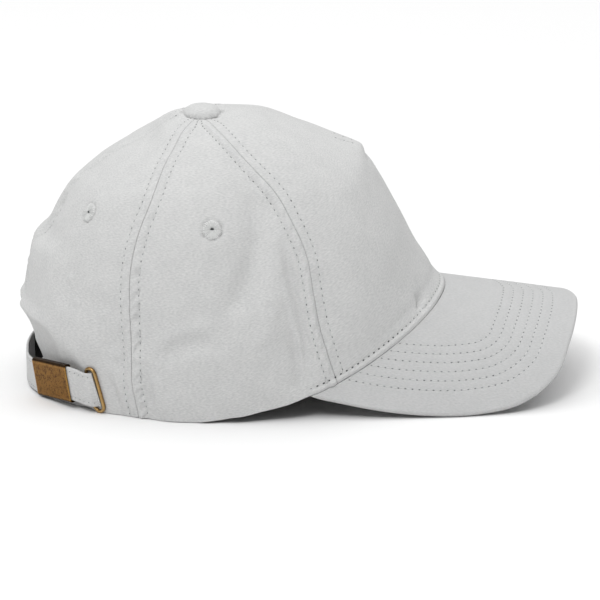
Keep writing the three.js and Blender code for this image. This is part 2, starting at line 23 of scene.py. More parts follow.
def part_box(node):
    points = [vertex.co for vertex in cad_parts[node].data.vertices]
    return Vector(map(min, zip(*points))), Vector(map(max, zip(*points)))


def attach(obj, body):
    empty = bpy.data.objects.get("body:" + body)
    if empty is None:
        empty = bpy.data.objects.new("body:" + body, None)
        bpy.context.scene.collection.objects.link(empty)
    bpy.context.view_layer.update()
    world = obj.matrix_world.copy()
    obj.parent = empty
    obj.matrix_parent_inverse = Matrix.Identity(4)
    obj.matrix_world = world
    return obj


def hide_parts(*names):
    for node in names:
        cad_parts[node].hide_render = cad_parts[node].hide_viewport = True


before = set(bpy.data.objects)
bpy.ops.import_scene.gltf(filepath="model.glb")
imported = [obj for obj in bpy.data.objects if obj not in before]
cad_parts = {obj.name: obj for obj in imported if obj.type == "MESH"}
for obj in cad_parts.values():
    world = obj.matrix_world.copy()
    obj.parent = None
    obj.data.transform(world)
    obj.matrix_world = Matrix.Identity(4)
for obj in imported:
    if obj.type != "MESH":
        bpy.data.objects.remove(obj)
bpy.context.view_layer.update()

log = logging.getLogger("cap")
MM = 0.001
BUTTON_SETBACK = 16.0
_button_low, _button_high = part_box("button")
ORIGIN = np.array([
    (_button_low[0] + _button_high[0]) / 2 + BUTTON_SETBACK * MM,
    (_button_low[1] + _button_high[1]) / 2,
    0.0,
])
Array = np.ndarray
Line = Callable[[Array], Array]
Surface = Callable[[Array, Array], Array]


# ---------------------------------------------------------------- small mathematics


def hermite(b: Array, c: Array, slope_in: Array, slope_out: Array, t: Array) -> Array:
    """Cubic from values b at t = 0 to values c at t = 1, with the slopes at both ends."""
    t2 = t * t
    t3 = t2 * t
    return ((2 * t3 - 3 * t2 + 1) * b + (t3 - 2 * t2 + t) * slope_in
            + (3 * t2 - 2 * t3) * c + (t3 - t2) * slope_out)


def along(values: Sequence[float], share: Array) -> Array:
    """Cubic through evenly spaced values.

    Args:
        values: The values from share 0 to share 1.
        share: Where to read it.

    Returns:
        The value at each share.
    """
    v = np.asarray(values, float)
    last = len(v) - 1
    at = np.clip(share, 0, 1) * last
    i = np.minimum(at.astype(int), last - 1)
    w = np.concatenate([[2 * v[0] - v[1]], v, [2 * v[-1] - v[-2]]])
    a, b, c, d = w[i], w[i + 1], w[i + 2], w[i + 3]
    return hermite(b, c, (c - a) / 2, (d - b) / 2, at - i)


def smoothstep(x: Array, low: float, high: float) -> Array:
    """Smooth rise from 0 at low to 1 at high."""
    t = np.clip((np.asarray(x, float) - low) / (high - low), 0, 1)
    return t * t * (3 - 2 * t)


def cos_sin(angle: Array) -> tuple[Array, Array]:
    """Cosine and sine of angles in degrees."""
    return np.cos(np.radians(angle)), np.sin(np.radians(angle))


def unit(v: Array) -> Array:
    """Vectors of length 1 along the last axis."""
    return v / np.maximum(np.linalg.norm(v, axis=-1, keepdims=True), 1e-12)


def bell(x: Array, middle: float, width: float) -> Array:
    """Smooth hump of height 1 about a middle value, nearly gone two widths away."""
    return np.exp(-((x - middle) / width) ** 2)


def dots(a: Array, b: Array) -> Array:
    """Dot products along the last axis."""
    return (a * b).sum(axis=-1)


def waver(points: Array, size: float, seed: float) -> Array:
    """Smooth noise between about -0.5 and 0.5.

    Args:
        points: Places, any shape that ends in 3.
        size: Distance over which it changes.
        seed: Tells one use of it from another.

    Returns:
        One value per place.
    """
    flat = points.reshape(-1, 3) / size + seed
    values = np.fromiter((noise.noise(Vector(p)) for p in flat), float, len(flat))
    return values.reshape(points.shape[:-1])


def eased(length: float, finest: float, pitch: float, growth: float = 0.09,
          both: bool = True) -> Array:
    """Places from 0 to 1 that lie close together near the ends.

    Args:
        length: Real length that 0 to 1 stands for.
        finest: First distance at an end.
        pitch: Greatest distance.
        growth: How fast the distances grow away from an end.
        both: Whether the far end is fine as well.

    Returns:
        The places, rising.
    """
    reach = length / 2 if both else length
    places, at = [], 0.0
    while at < reach:
        places.append(at)
        at += min(finest + growth * at, pitch)
    near = np.array(places) / length
    far = 1 - near[::-1] if both else [1]
    return np.unique(np.round(np.concatenate([near, far]), 9))


def arc_lengths(points: Array, axis: int = 0) -> Array:
    """Distance run along a line of points, or along a grid's lines, from the start."""
    run = np.cumsum(np.linalg.norm(np.diff(points, axis=axis), axis=-1), axis=axis)
    return np.concatenate([np.zeros_like(run.take([0], axis=axis)), run], axis=axis)


def grid_uv(run: Array, up: Array) -> Array:
    """UV pairs of a grid from the distances of its columns and of its rows."""
    return np.stack(np.broadcast_arrays(run[:, None], up[None, :]), axis=-1)


# ---------------------------------------------------------------- materials


def linear(code: str) -> tuple[float, float, float, float]:
    """Linear colour of an sRGB hex code."""
    value = [int(code[i:i + 2], 16) / 255 for i in (1, 3, 5)]
    r, g, b = (v / 12.92 if v <= 0.04045 else ((v + 0.055) / 1.055) ** 2.4 for v in value)
    return (r, g, b, 1.0)


def scaled(colour: tuple[float, ...], factor: float) -> tuple[float, ...]:
    """A colour made brighter or darker by a factor."""
    return tuple(min(1, factor * c) for c in colour[:3]) + (1.0,)


def add_node(tree: NodeTree, kind: str, values: dict | None = None,
             links: dict | None = None, **settings: object) -> bpy.types.Node:
    """Adds a node with its settings and links.

    Args:
        tree: The material's tree.
        kind: The node's type name.
        values: Input name or number to its constant.
        links: Input name or number to the output socket that feeds it.
        **settings: Attributes of the node.

    Returns:
        The new node.
    """
    node = tree.nodes.new(kind)
    for name, value in settings.items():
        setattr(node, name, value)
    for name, value in (values or {}).items():
        node.inputs[name].default_value = value
    for name, socket in (links or {}).items():
        tree.links.new(socket, node.inputs[name])
    return node


class Recipe:
    """The nodes of one new material, which lead to its shader."""

    def __init__(self, name: str, space: str) -> None:
        """Starts the material.

        Args:
            name: The material's name.
            space: The texture coordinates that its patterns read.
        """
        self.material = bpy.data.materials.new(name)
        self.material.use_nodes = True
        self.tree = self.material.node_tree
        self.place = add_node(self.tree, "ShaderNodeTexCoord").outputs[space]

    def pattern(self, size: float, detail: float = 2.0, roughness: float = 0.5,
                place: NodeSocket | None = None) -> NodeSocket:
        """Noise that changes over a given size."""
        return add_node(self.tree, "ShaderNodeTexNoise", {
            "Scale": 1 / size, "Detail": detail, "Roughness": roughness},
            {"Vector": self.place if place is None else place}).outputs["Fac"]

    def times(self, value: NodeSocket, factor: float, plus: NodeSocket | None = None,
              clamp: bool = False) -> NodeSocket:
        """A value times a constant, plus another value where one is given."""
        links = {0: value} if plus is None else {0: value, 2: plus}
        operation = "MULTIPLY" if plus is None else "MULTIPLY_ADD"
        return add_node(self.tree, "ShaderNodeMath", {1: factor}, links,
                        operation=operation, use_clamp=clamp).outputs[0]

    def ramp(self, value: NodeSocket, low: tuple[float, ...], high: tuple[float, ...],
             start: float = 0.0, end: float = 1.0) -> NodeSocket:
        """Colour that goes from one to another while a value goes from start to end."""
        node = add_node(self.tree, "ShaderNodeValToRGB", links={"Fac": value})
        for element, colour, at in zip(node.color_ramp.elements, (low, high), (start, end)):
            element.position, element.color = at, colour
        return node.outputs[0]

    def over(self, share: NodeSocket, below: NodeSocket, code: str) -> NodeSocket:
        """A plain colour laid over another by a share."""
        return add_node(self.tree, "ShaderNodeMix", {7: linear(code)},
                        {0: share, 6: below}, data_type="RGBA").outputs[2]

    def bump(self, height: NodeSocket, strength: float, depth: float) -> NodeSocket:
        """Normal of a relief of a depth in mm."""
        return add_node(self.tree, "ShaderNodeBump", {
            "Strength": strength, "Distance": depth * MM}, {"Height": height}).outputs[0]

    def shade(self, links: dict, values: dict) -> Material:
        """Feeds the shader.

        Args:
            links: Shader input to the output socket that feeds it.
            values: Shader input to its constant.

        Returns:
            The material.
        """
        shader = self.tree.nodes["Principled BSDF"]
        for name, socket in links.items():
            self.tree.links.new(socket, shader.inputs[name])
        for name, value in values.items():
            shader.inputs[name].default_value = value
        return self.material


@dataclass(frozen=True)
class CottonTwill:
    """Brushed cotton twill: short slanting floats under a nap, which makes it fully matt.

    Attributes:
        name: The material's name.
        high: Colour of the raised threads.
        low: Colour of the hollows between them.
        thread: Width of a float, in mm. Real ones are 0.3 mm, too fine to show.
        run: Length of a float, in mm.
        slant: Angle of the floats, in degrees.
        nap: Size of the tufts of the nap, in mm.
        cloud: Size of the faint patches of tone, in mm.
        depth: Depth of the relief, in mm.
    """

    name: str
    high: str
    low: str
    thread: float = 0.62
    run: float = 1.5
    slant: float = -38
    nap: float = 0.8
    cloud: float = 9
    depth: float = 0.16

    def build(self) -> Material:
        """Makes the material, which reads the UV map, one unit to a millimetre."""
        recipe = Recipe(self.name, "UV")
        slanted = add_node(recipe.tree, "ShaderNodeMapping", {
            "Rotation": (0, 0, math.radians(self.slant)),
            "Scale": (1 / self.run, 1 / self.thread, 1)}, {"Vector": recipe.place}).outputs[0]
        floats = recipe.pattern(1.0, 1.0, 0.4, slanted)
        height = recipe.times(recipe.pattern(self.nap, 3.0, 0.7), 0.32,
                              recipe.times(floats, 0.68))
        tone = recipe.times(recipe.pattern(self.cloud, 3.0), 0.22, height)
        colour = recipe.ramp(tone, linear(self.low), linear(self.high), 0.36, 0.86)
        return recipe.shade(
            {"Base Color": colour, "Normal": recipe.bump(height, 0.6, self.depth)},
            {"Roughness": 0.95, "Specular IOR Level": 0.2, "Sheen Weight": 0.08,
             "Sheen Roughness": 0.6})


@dataclass(frozen=True)
class SpunThread:
    """Spun polyester sewing thread: smooth, a little brighter than the cloth."""

    name: str
    colour: str
    twist: float = 0.5
    roughness: float = 0.7

    def build(self) -> Material:
        """Makes the material, with a fine twist along Object coordinates."""
        recipe = Recipe(self.name, "Object")
        bright = linear(self.colour)
        colour = recipe.ramp(recipe.pattern(self.twist * MM, 1.0), scaled(bright, 0.78), bright)
        return recipe.shade({"Base Color": colour}, {"Roughness": self.roughness})


@dataclass(frozen=True)
class NeedleHole:
    """The shadowed mouth of a needle hole: dark and matt, with no sheen of its own."""

    name: str
    colour: str
    patch: float = 4

    def build(self) -> Material:
        """Makes the material, a little uneven from hole to hole."""
        recipe = Recipe(self.name, "Object")
        dark = linear(self.colour)
        colour = recipe.ramp(recipe.pattern(self.patch * MM), dark, scaled(dark, 2.6), 0.35, 0.7)
        return recipe.shade({"Base Color": colour},
                            {"Roughness": 1.0, "Specular IOR Level": 0.0})


@dataclass(frozen=True)
class WovenBand:
    """Black polyester band: fine cross ribs with a slight gleam on their backs."""

    name: str
    high: str
    low: str
    rib: float = 1.0
    depth: float = 0.15

    def build(self) -> Material:
        """Makes the material, which reads the UV map, one unit to a millimetre."""
        recipe = Recipe(self.name, "UV")
        ribs = add_node(recipe.tree, "ShaderNodeTexWave", {
            "Scale": 0.314 / self.rib, "Distortion": 0.6, "Detail": 1.0},
            {"Vector": recipe.place}, bands_direction="Y").outputs["Fac"]
        return recipe.shade(
            {"Base Color": recipe.ramp(ribs, linear(self.low), linear(self.high)),
             "Normal": recipe.bump(ribs, 0.7, self.depth)}, {"Roughness": 0.8})


@dataclass(frozen=True)
class AgedBrass:
    """Antique plated brass: specked brown patina, worn to gold where it rubs, with painted gold
    highlights and painted dark reflections.

    Attributes:
        name: The material's name.
        patina: Colour of the dark specks.
        brown: Colour between them.
        gold: Colour of the worn edges and of the painted highlights.
        painted_dark_reflection: Colour of the folded edges, a painted dark reflection.
        patch: Size of the patches of patina, in mm.
        grain: Size of the specks, in mm.
        wear_and_painted_light: How far the worn edges and the painted highlights turn to gold.
        roughness: Mean roughness.
    """

    name: str
    patina: str
    brown: str
    gold: str
    painted_dark_reflection: str = "#1d1206"
    patch: float = 2.0
    grain: float = 0.7
    wear_and_painted_light: float = 0.8
    roughness: float = 0.42

    def build(self) -> Material:
        """Makes the material on Object coordinates."""
        recipe = Recipe(self.name, "Object")
        patches = recipe.pattern(self.patch * MM, 4.0, 0.7)
        grain = recipe.pattern(self.grain * MM)
        specked = recipe.ramp(recipe.times(grain, 0.9, patches), linear(self.patina),
                              linear(self.brown), 0.76, 1.0)
        # The attribute is above zero for gold, at worn edges and at painted highlights, and
        # below zero for a painted dark reflection.
        worn = add_node(recipe.tree, "ShaderNodeAttribute",
                        attribute_name="wear_and_painted_light").outputs["Fac"]
        with_painted_dark_reflection = recipe.over(recipe.times(worn, -0.85, clamp=True), specked, self.painted_dark_reflection)
        gold_wear_and_highlight = recipe.over(recipe.times(worn, self.wear_and_painted_light, clamp=True), with_painted_dark_reflection, self.gold)
        rough = add_node(recipe.tree, "ShaderNodeMapRange", {
            "To Min": self.roughness - 0.08, "To Max": self.roughness + 0.12},
            {"Value": grain}).outputs[0]
        return recipe.shade(
            {"Base Color": gold_wear_and_highlight, "Roughness": rough,
             "Normal": recipe.bump(grain, 0.25, 0.05)}, {"Metallic": 1.0})


@dataclass(frozen=True)
class StudioFloor:
    """Matt white studio paint, faintly uneven."""

    name: str
    colour: str

    def build(self) -> Material:
        """Makes the material on Object coordinates."""
        recipe = Recipe(self.name, "Object")
        white = linear(self.colour)
        colour = recipe.ramp(recipe.pattern(1 / 1.5), scaled(white, 0.985), white)
        return recipe.shade({"Base Color": colour}, {"Roughness": 0.95})


@dataclass
class Finishes:
    """Every finish of the cap, each made once."""

    twill: Material = field(default_factory=CottonTwill(
        "pale_cotton_twill", "#d5d5d4", "#babbbb").build)
    # A darker copy of the crown's twill for the peak's cloth: painted shade.
    shaded_peak_twill: Material = field(default_factory=CottonTwill(
        "pale_cotton_twill_on_board_painted_shade", "#c5c5c5", "#b3b4b4", depth=0.09).build)
    thread: Material = field(default_factory=SpunThread(
        "pale_polyester_thread", "#d9dad9").build)
    # Needle holes and the eyelets' openings are dark beads and discs: painted shade.
    hole: Material = field(default_factory=NeedleHole("needle_hole_shadow", "#686b6b").build)
    deep_hole_shade: Material = field(default_factory=NeedleHole(
        "deep_needle_hole_shadow", "#424444").build)
    band: Material = field(default_factory=WovenBand(
        "black_polyester_band", "#1c1c1d", "#0c0c0d").build)
    slide_brass: Material = field(default_factory=AgedBrass(
        "antique_brass_plate", "#523611", "#88612d", "#c49c5c", wear_and_painted_light=0.5).build)
    ring_brass: Material = field(default_factory=AgedBrass(
        "antique_brass_wire", "#694a22", "#9a7542", "#d0b07a", wear_and_painted_light=0.6,
        roughness=0.33).build)


# ---------------------------------------------------------------- meshes from grids


def to_mesh(name: str, bm: BMesh) -> Object:
    """Turns a bmesh into a smooth object at the origin and frees it."""
    mesh = bpy.data.meshes.new(name)
    bm.to_mesh(mesh)
    bm.free()
    piece = bpy.data.objects.new(name, mesh)
    bpy.context.scene.collection.objects.link(piece)
    return piece


def in_row(points: Array) -> Array:
    """Places in the row's frame, in metres, of crown places in millimetres."""
    return points * MM + ORIGIN


def read_places(mesh: Mesh) -> Array:
    """Every vertex of a mesh, as it stands."""
    flat = np.empty(3 * len(mesh.vertices))
    mesh.vertices.foreach_get("co", flat)
    return flat.reshape(-1, 3)


def write_places(mesh: Mesh, points: Array) -> None:
    """Moves every vertex of a mesh to crown places given in millimetres."""
    mesh.vertices.foreach_set("co", in_row(points).ravel())
    mesh.update()


def write_uv(mesh: Mesh, uv: Array) -> None:
    """Gives a mesh a UV map from one pair per vertex."""
    layer = mesh.uv_layers.new(name="cloth_mm")
    corner = np.empty(len(mesh.loops), int)
    mesh.loops.foreach_get("vertex_index", corner)
    layer.data.foreach_set("uv", uv[corner].ravel())


def write_wear_and_painted_light(mesh: Mesh, wear_and_painted_light: Array) -> None:
    """Gives a mesh its share of gold, one per vertex, for worn edges and painted highlights.
    Minus is a painted dark reflection.
    """
    mesh.attributes.new("wear_and_painted_light", "FLOAT", "POINT").data.foreach_set("value", wear_and_painted_light)


def mend(mesh: Mesh, weld: bool) -> None:
    """Turns a mesh's normals outward and smooths it.

    Args:
        mesh: The mesh.
        weld: Whether its borders are joined first and its open ends filled.
    """
    bm = bmesh.new()
    bm.from_mesh(mesh)
    if weld:
        bmesh.ops.remove_doubles(bm, verts=bm.verts[:], dist=1e-6)
        bmesh.ops.dissolve_degenerate(bm, dist=1e-7, edges=bm.edges[:])
        rim = [edge for edge in bm.edges if edge.is_boundary]
        if rim:
            bmesh.ops.holes_fill(bm, edges=rim, sides=0)
    bmesh.ops.recalc_face_normals(bm, faces=bm.faces[:])
    bm.to_mesh(mesh)
    bm.free()
    mesh.shade_smooth()


def grid_indices(mesh: Mesh, columns: int, rows: int) -> tuple[Array, ...]:
    """Column, row and layer of every vertex of a flat grid that spans -1 to 1.

    Args:
        mesh: The grid's mesh, still flat.
        columns: Number of points along X.
        rows: Number of points along Y.

    Returns:
        Column numbers, row numbers and a flag that is true on the lower layer.
    """
    flat = read_places(mesh)
    i = np.rint((flat[:, 0] + 1) / 2 * (columns - 1)).astype(int)
    j = np.rint((flat[:, 1] + 1) / 2 * (rows - 1)).astype(int)
    return i, j, flat[:, 2] < -0.5


def cloth_shell(name: str, outer: Array, inner: Array, uv: Array) -> Object:
    """A closed wall between two faces. Columns run to the right, rows upward.

    Args:
        name: The piece's name.
        outer: Outer face, as columns by rows of places.
        inner: Inner face, of the same size.
        uv: UV pair of each grid point.

    Returns:
        The piece.
    """
    columns, rows = outer.shape[:2]
    bm = bmesh.new()
    bmesh.ops.create_grid(bm, x_segments=columns - 1, y_segments=rows - 1, size=1)
    back = bmesh.ops.extrude_face_region(bm, geom=bm.faces[:], use_keep_orig=True)
    lower = [g for g in back["geom"] if isinstance(g, bmesh.types.BMVert)]
    bmesh.ops.translate(bm, verts=lower, vec=(0, 0, -1))
    bmesh.ops.recalc_face_normals(bm, faces=bm.faces[:])
    piece = to_mesh(name, bm)
    i, j, under = grid_indices(piece.data, columns, rows)
    write_places(piece.data, np.where(under[:, None], inner[i, j], outer[i, j]))
    write_uv(piece.data, uv[i, j])
    piece.data.shade_smooth()
    return piece


def wrapped(name: str, grid: Array, uv: Array | None = None,
            wear_and_painted_light: Array | None = None) -> Object:
    """A closed body from a grid whose borders meet. Its open ends are filled.

    Args:
        name: The piece's name.
        grid: Columns by rows of places.
        uv: UV pair of each grid point.
        wear_and_painted_light: Share of gold at each grid point, for worn edges and painted
            light.

    Returns:
        The piece.
    """
    columns, rows = grid.shape[:2]
    bm = bmesh.new()
    bmesh.ops.create_grid(bm, x_segments=columns - 1, y_segments=rows - 1, size=1)
    piece = to_mesh(name, bm)
    mesh = piece.data
    i, j, _ = grid_indices(mesh, columns, rows)
    write_places(mesh, grid[i, j])
    if uv is not None:
        write_uv(mesh, uv[i, j])
    if wear_and_painted_light is not None:
        write_wear_and_painted_light(mesh, wear_and_painted_light[i, j])
    mend(mesh, weld=True)
    return piece


def dress(piece: Object, material: Material, slot: str, *nodes: str) -> Object:
    """Gives a piece its material and its place in the frame.

    Args:
        piece: The piece.
        material: Its material.
        slot: The record's slot of its finish. Not used.
        *nodes: CAD nodes that it replaces.

    Returns:
        The same piece.
    """
    piece.data.materials.clear()
    piece.data.materials.append(material)
    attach(piece, "root")
    for node in nodes:
        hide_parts(node)
    log.info("%s: %d faces", piece.name, len(piece.data.polygons))
    return piece


# ---------------------------------------------------------------- shape of the crown


class Seam(Enum):
    """The five seams between the panels."""

    FRONT_RIGHT = "front_right"
    FRONT_LEFT = "front_left"
    BACK_RIGHT = "back_right"
    BACK_LEFT = "back_left"
    BACK_MIDDLE = "back_middle"


@dataclass(frozen=True)
class Fold:
    """A dent or fold of the cloth from one place on the crown to another.

    Attributes:
        start: Angle about the button and step up the cloth at one end.
        end: The same at the other end.
        width: Half width of its hollow, in mm.
        depth: How far it goes inward, in mm. Minus stands out.
    """

    start: tuple[float, float]
    end: tuple[float, float]
    width: float
    depth: float


@dataclass(frozen=True)
class Crease:
    """A finer fold than the solids have, read off the cloth's shading.

    Attributes:
        path: Angle about the button and step up the cloth of each place along it.
        width: Half width of its hollow, in mm.
        depth: How far it goes inward, in mm. Minus stands out.
        other_side: Share of its depth with which the unseen side repeats it.
    """

    path: tuple[tuple[float, float], ...]
    width: float
    depth: float
    other_side: float = 0.6


@dataclass
class CrownShape:
    """Outer face of the crown, as the part's solids have it, with its cloth relief.

    Attributes:
        length: Length of the head opening. All lengths are in mm.
        width: Its width.
        height: Height of the crown under the button.
        setback: Distance of the button behind the middle of the opening.
        gap: Gap that pieces keep from each other.
        peak_bend: Radius of the cylinder that the peak is bent round.
        peak_slope: How fast the peak falls towards the front.
        peak_rise: Height of the peak's crest at the front of the opening.
        crest_dip: How much lower the dressed crest lies.
        profile_angles: Angles about the button of the profiles.
        reach: Share of the opening's radius at even steps up the cloth, per profile.
        rise: Share of the height at the same steps.
        front_seam: Angle of the seam behind the front panel at even steps.
        back_seam: Angle of the seam between the side and back panels.
        folds: Dents and folds that the solids have too.
        creases: Finer folds of the cloth.
        back_trim: Steps up the back, each with how far the cloth lies inside the solid.
        front_trim: The same up the front.
        eyelets: Angle and step of the eyelets of one side.
        row_offset: Distance of a row of stitches from its seam.
    """

    length: float = 202.0
    width: float = 166.0
    height: float = 129.5
    setback: float = BUTTON_SETBACK
    gap: float = 0.3
    peak_bend: float = 91.9972
    peak_slope: float = math.tan(math.radians(8.1))
    peak_rise: float = 46.5
    crest_dip: float = 1.1
    profile_angles: tuple[float, ...] = (0, 48, 90, 125, 180)
    reach: tuple[tuple[float, ...], ...] = (
        (1.000, 0.916, 0.850, 0.787, 0.726, 0.644, 0.524, 0.397, 0.265, 0.133, 0.000),
        (1.000, 0.993, 0.978, 0.948, 0.900, 0.825, 0.720, 0.590, 0.430, 0.235, 0.000),
        (1.000, 1.018, 1.026, 1.020, 0.990, 0.930, 0.815, 0.650, 0.462, 0.243, 0.000),
        (0.985, 1.012, 1.040, 1.035, 0.990, 0.910, 0.790, 0.620, 0.420, 0.210, 0.000),
        (0.975, 0.962, 1.047, 0.993, 0.932, 0.800, 0.665, 0.492, 0.312, 0.135, 0.000),
    )
    rise: tuple[tuple[float, ...], ...] = (
        (0.000, 0.159, 0.318, 0.477, 0.638, 0.798, 0.872, 0.940, 0.994, 1.010, 1.000),
        (0.000, 0.145, 0.290, 0.430, 0.563, 0.688, 0.800, 0.892, 0.962, 0.999, 1.000),
        (0.000, 0.128, 0.259, 0.420, 0.550, 0.678, 0.793, 0.888, 0.957, 0.996, 1.000),
        (0.000, 0.135, 0.268, 0.410, 0.550, 0.682, 0.790, 0.870, 0.942, 0.996, 1.000),
        (0.000, 0.178, 0.310, 0.420, 0.550, 0.690, 0.793, 0.875, 0.945, 0.995, 1.000),
    )
    front_seam: tuple[float, ...] = (
        51.0, 53.8, 56.0, 57.0, 57.4, 59.6, 62.2, 68.0, 74.5, 80.0, 84.0)
    back_seam: tuple[float, ...] = (
        114.0, 115.5, 115.2, 115.5, 116.0, 114.6, 112.2, 112.3, 111.2, 110.0, 110.0)
    folds: tuple[Fold, ...] = (
        Fold((-71.5, 0.554), (-81.0, 0.354), 11, 2.2),
        Fold((-64.5, 0.346), (-63.5, 0.054), 5, 1.2),
        Fold((-106.5, 0.233), (-85.0, 0.283), 7, 1.2),
        Fold((-150.0, 0.26), (-126.0, 0.24), 9, -0.8),
        Fold((-19.5, 0.033), (-22.0, 0.108), 5, 0.8),
        Fold((-176.0, 0.479), (-172.0, 0.438), 8, 2.2),
        Fold((-178.0, 0.400), (-178.0, 0.200), 8, 1.3),
        Fold((168.0, 0.225), (158.0, 0.240), 12, -1.4),
        Fold((73.0, 0.530), (84.0, 0.330), 12, 1.8),
        Fold((65.0, 0.330), (64.0, 0.060), 5, 1.0),
        Fold((104.0, 0.220), (84.0, 0.260), 8, 1.0),
    )
    creases: tuple[Crease, ...] = (
        # The long dent in the middle of the side panel, and the swelling under it.
        Crease(((-69.5, 0.554), (-73.5, 0.445), (-79.0, 0.330), (-84.0, 0.265)), 5.5, 3.2),
        Crease(((-70.6, 0.290), (-71.6, 0.230), (-73.3, 0.185)), 5.0, -1.5),
        # Two long folds that hang beside the front seam.
        Crease(((-64.6, 0.450), (-63.2, 0.340), (-61.9, 0.250), (-60.4, 0.163),
                (-59.0, 0.060)), 2.3, 2.8),
        Crease(((-64.4, 0.230), (-62.9, 0.110), (-61.4, 0.020)), 1.7, 2.0),
        Crease(((-60.2, 0.210), (-58.4, 0.134), (-57.4, 0.070)), 1.3, 0.9),
        # The bow low on the side panel: a ridge with a hollow under it.
        Crease(((-108.2, 0.185), (-105.4, 0.222), (-101.5, 0.244), (-97.3, 0.257),
                (-91.4, 0.265), (-86.2, 0.268)), 4.0, -1.3),
        Crease(((-106.0, 0.165), (-103.4, 0.195), (-100.0, 0.214), (-96.0, 0.224),
                (-90.5, 0.228), (-86.0, 0.226)), 4.5, 2.0),
        Crease(((-110.2, 0.150), (-109.6, 0.090), (-108.6, 0.030)), 2.6, 1.8),
        Crease(((-106.4, 0.140), (-105.8, 0.050)), 3.0, -0.5),
        # Soft hollows of the back panel and the folds that lead to the ring.
        Crease(((-141.0, 0.350), (-136.0, 0.295)), 9.0, 1.3),
        Crease(((176.0, 0.215), (168.0, 0.205)), 4.5, 1.0, 0.0),
        Crease(((-124.5, 0.280), (-121.5, 0.170)), 6.5, 1.9),
        Crease(((-160.0, 0.235), (-140.0, 0.165), (-128.0, 0.150)), 5.0, -0.9),
        Crease(((-121.6, 0.120), (-118.4, 0.020)), 2.6, -0.8),
        Crease(((-123.8, 0.100), (-121.5, 0.010)), 2.4, 0.8),
        # The stiff front: a shallow hollow by its seam, the star near the board, the dart.
        Crease(((-54.5, 0.380), (-55.0, 0.250), (-53.5, 0.110)), 6.0, 1.5),
        Crease(((-20.6, 0.062), (-19.6, 0.022)), 1.3, 1.6, 0.0),
        Crease(((-22.6, 0.036), (-18.0, 0.044)), 1.3, 1.4, 0.0),
        Crease(((-21.6, 0.024), (-18.6, 0.062)), 1.2, 1.0, 0.0),
        Crease(((-24.0, 0.060), (-26.5, 0.120)), 3.0, 0.5, 0.0),
        Crease(((-8.0, 0.466), (8.0, 0.466)), 2.2, 0.9, 0.0),
        Crease(((-7.0, 0.497), (7.0, 0.497)), 2.5, -0.8, 0.0),
    )
    back_trim: tuple[tuple[float, float], ...] = (
        (0.00, 0.0), (0.10, 0.3), (0.15, 0.65), (0.175, 0.4), (0.19, -0.25), (0.20, -0.75),
        (0.21, 0.0), (0.2225, 1.2), (0.235, 1.7), (0.25, 1.6), (0.265, 1.15), (0.28, 0.6),
        (0.30, 0.0), (0.32, -0.4), (0.345, -0.9), (0.365, -1.1), (0.38, -1.4), (0.39, -1.0),
        (0.40, -0.4), (0.41, 0.6), (0.42, 1.2), (0.432, 1.65), (0.446, 1.5), (0.46, 1.2),
        (0.48, 0.9), (0.50, 0.65), (0.52, 0.45), (0.54, 0.5), (0.56, 0.7), (0.58, 1.1),
        (0.60, 1.5), (0.62, 1.75), (0.65, 1.6), (0.68, 1.4), (0.71, 1.25), (0.735, 1.5),
        (0.76, 1.9), (0.785, 2.0), (0.80, 1.8), (0.823, 1.0), (0.845, -0.1), (0.87, -0.6),
        (0.90, -0.8), (0.95, -0.4), (1.00, 0.0))
    front_trim: tuple[tuple[float, float], ...] = (
        (0.00, 0.0), (0.02, 0.3), (0.035, 0.7), (0.055, 0.9), (0.075, 0.4), (0.10, 0.2),
        (0.12, 0.22), (0.145, 0.45), (0.172, 0.48), (0.199, 0.33), (0.219, 0.13),
        (0.252, -0.07), (0.28, -0.15), (0.307, -0.1), (0.337, 0.1), (0.367, 0.35),
        (0.389, 0.5), (0.414, 0.5), (0.436, 0.55), (0.456, 0.6), (0.472, 0.5),
        (0.484, 0.35), (0.491, 0.25), (0.506, 0.2), (0.521, 0.28), (0.549, 0.42),
        (0.586, 0.33), (0.616, 0.58), (0.643, 0.74), (0.673, 0.84), (0.70, 0.95),
        (0.728, 1.03), (0.756, 1.17), (0.776, 1.19), (0.80, 0.8), (0.823, 0.1),
        (0.85, 0.0), (1.00, 0.0))
    eyelets: tuple[tuple[float, float], ...] = ((88.0, 0.516), (141.5, 0.521))
    row_offset: float = 4.6
    tree: kdtree.KDTree = field(init=False, repr=False)
    fold_ends: list[Array] = field(init=False, repr=False)
    crease_lines: list[tuple[Crease, float, Array]] = field(init=False, repr=False)
    eyelet_places: Array = field(init=False, repr=False)
    seam_of: Array = field(init=False, repr=False)
    seam_run: Array = field(init=False, repr=False)
    seam_angle: Array = field(init=False, repr=False)

    def __post_init__(self) -> None:
        """Lays out the seams so that any place can find its nearest one."""
        self.fold_ends = [self.smooth(*(np.array([fold.start[k], fold.end[k]])
                                        for k in (0, 1))) for fold in self.folds]
        self.crease_lines = []
        for crease in self.creases:
            angle, share = np.array(crease.path).T
            self.crease_lines.append((crease, crease.depth, self.smooth(angle, share)))
            if crease.other_side:
                self.crease_lines.append((crease, crease.depth * crease.other_side,
                                          self.smooth(-angle, share)))
        holes = np.array([(side * angle, share) for angle, share in self.eyelets
                          for side in (-1, 1)])
        self.eyelet_places = self.face(holes[:, 0], holes[:, 1])
        places, names, runs, angles = [], [], [], []
        share = np.linspace(0, 0.985, 1100)
        for k, seam in enumerate(Seam):
            angle = self.seam_line(seam, share)
            points = self.face(angle, share)
            places.append(points)
            names.append(np.full(len(share), k))
            runs.append(arc_lengths(points))
            angles.append(angle)
        flat = np.concatenate(places)
        self.tree = kdtree.KDTree(len(flat))
        for n, point in enumerate(flat):
            self.tree.insert(Vector(point), n)
        self.tree.balance()
        self.seam_of = np.concatenate(names)
        self.seam_run = np.concatenate(runs)
        self.seam_angle = np.concatenate(angles)

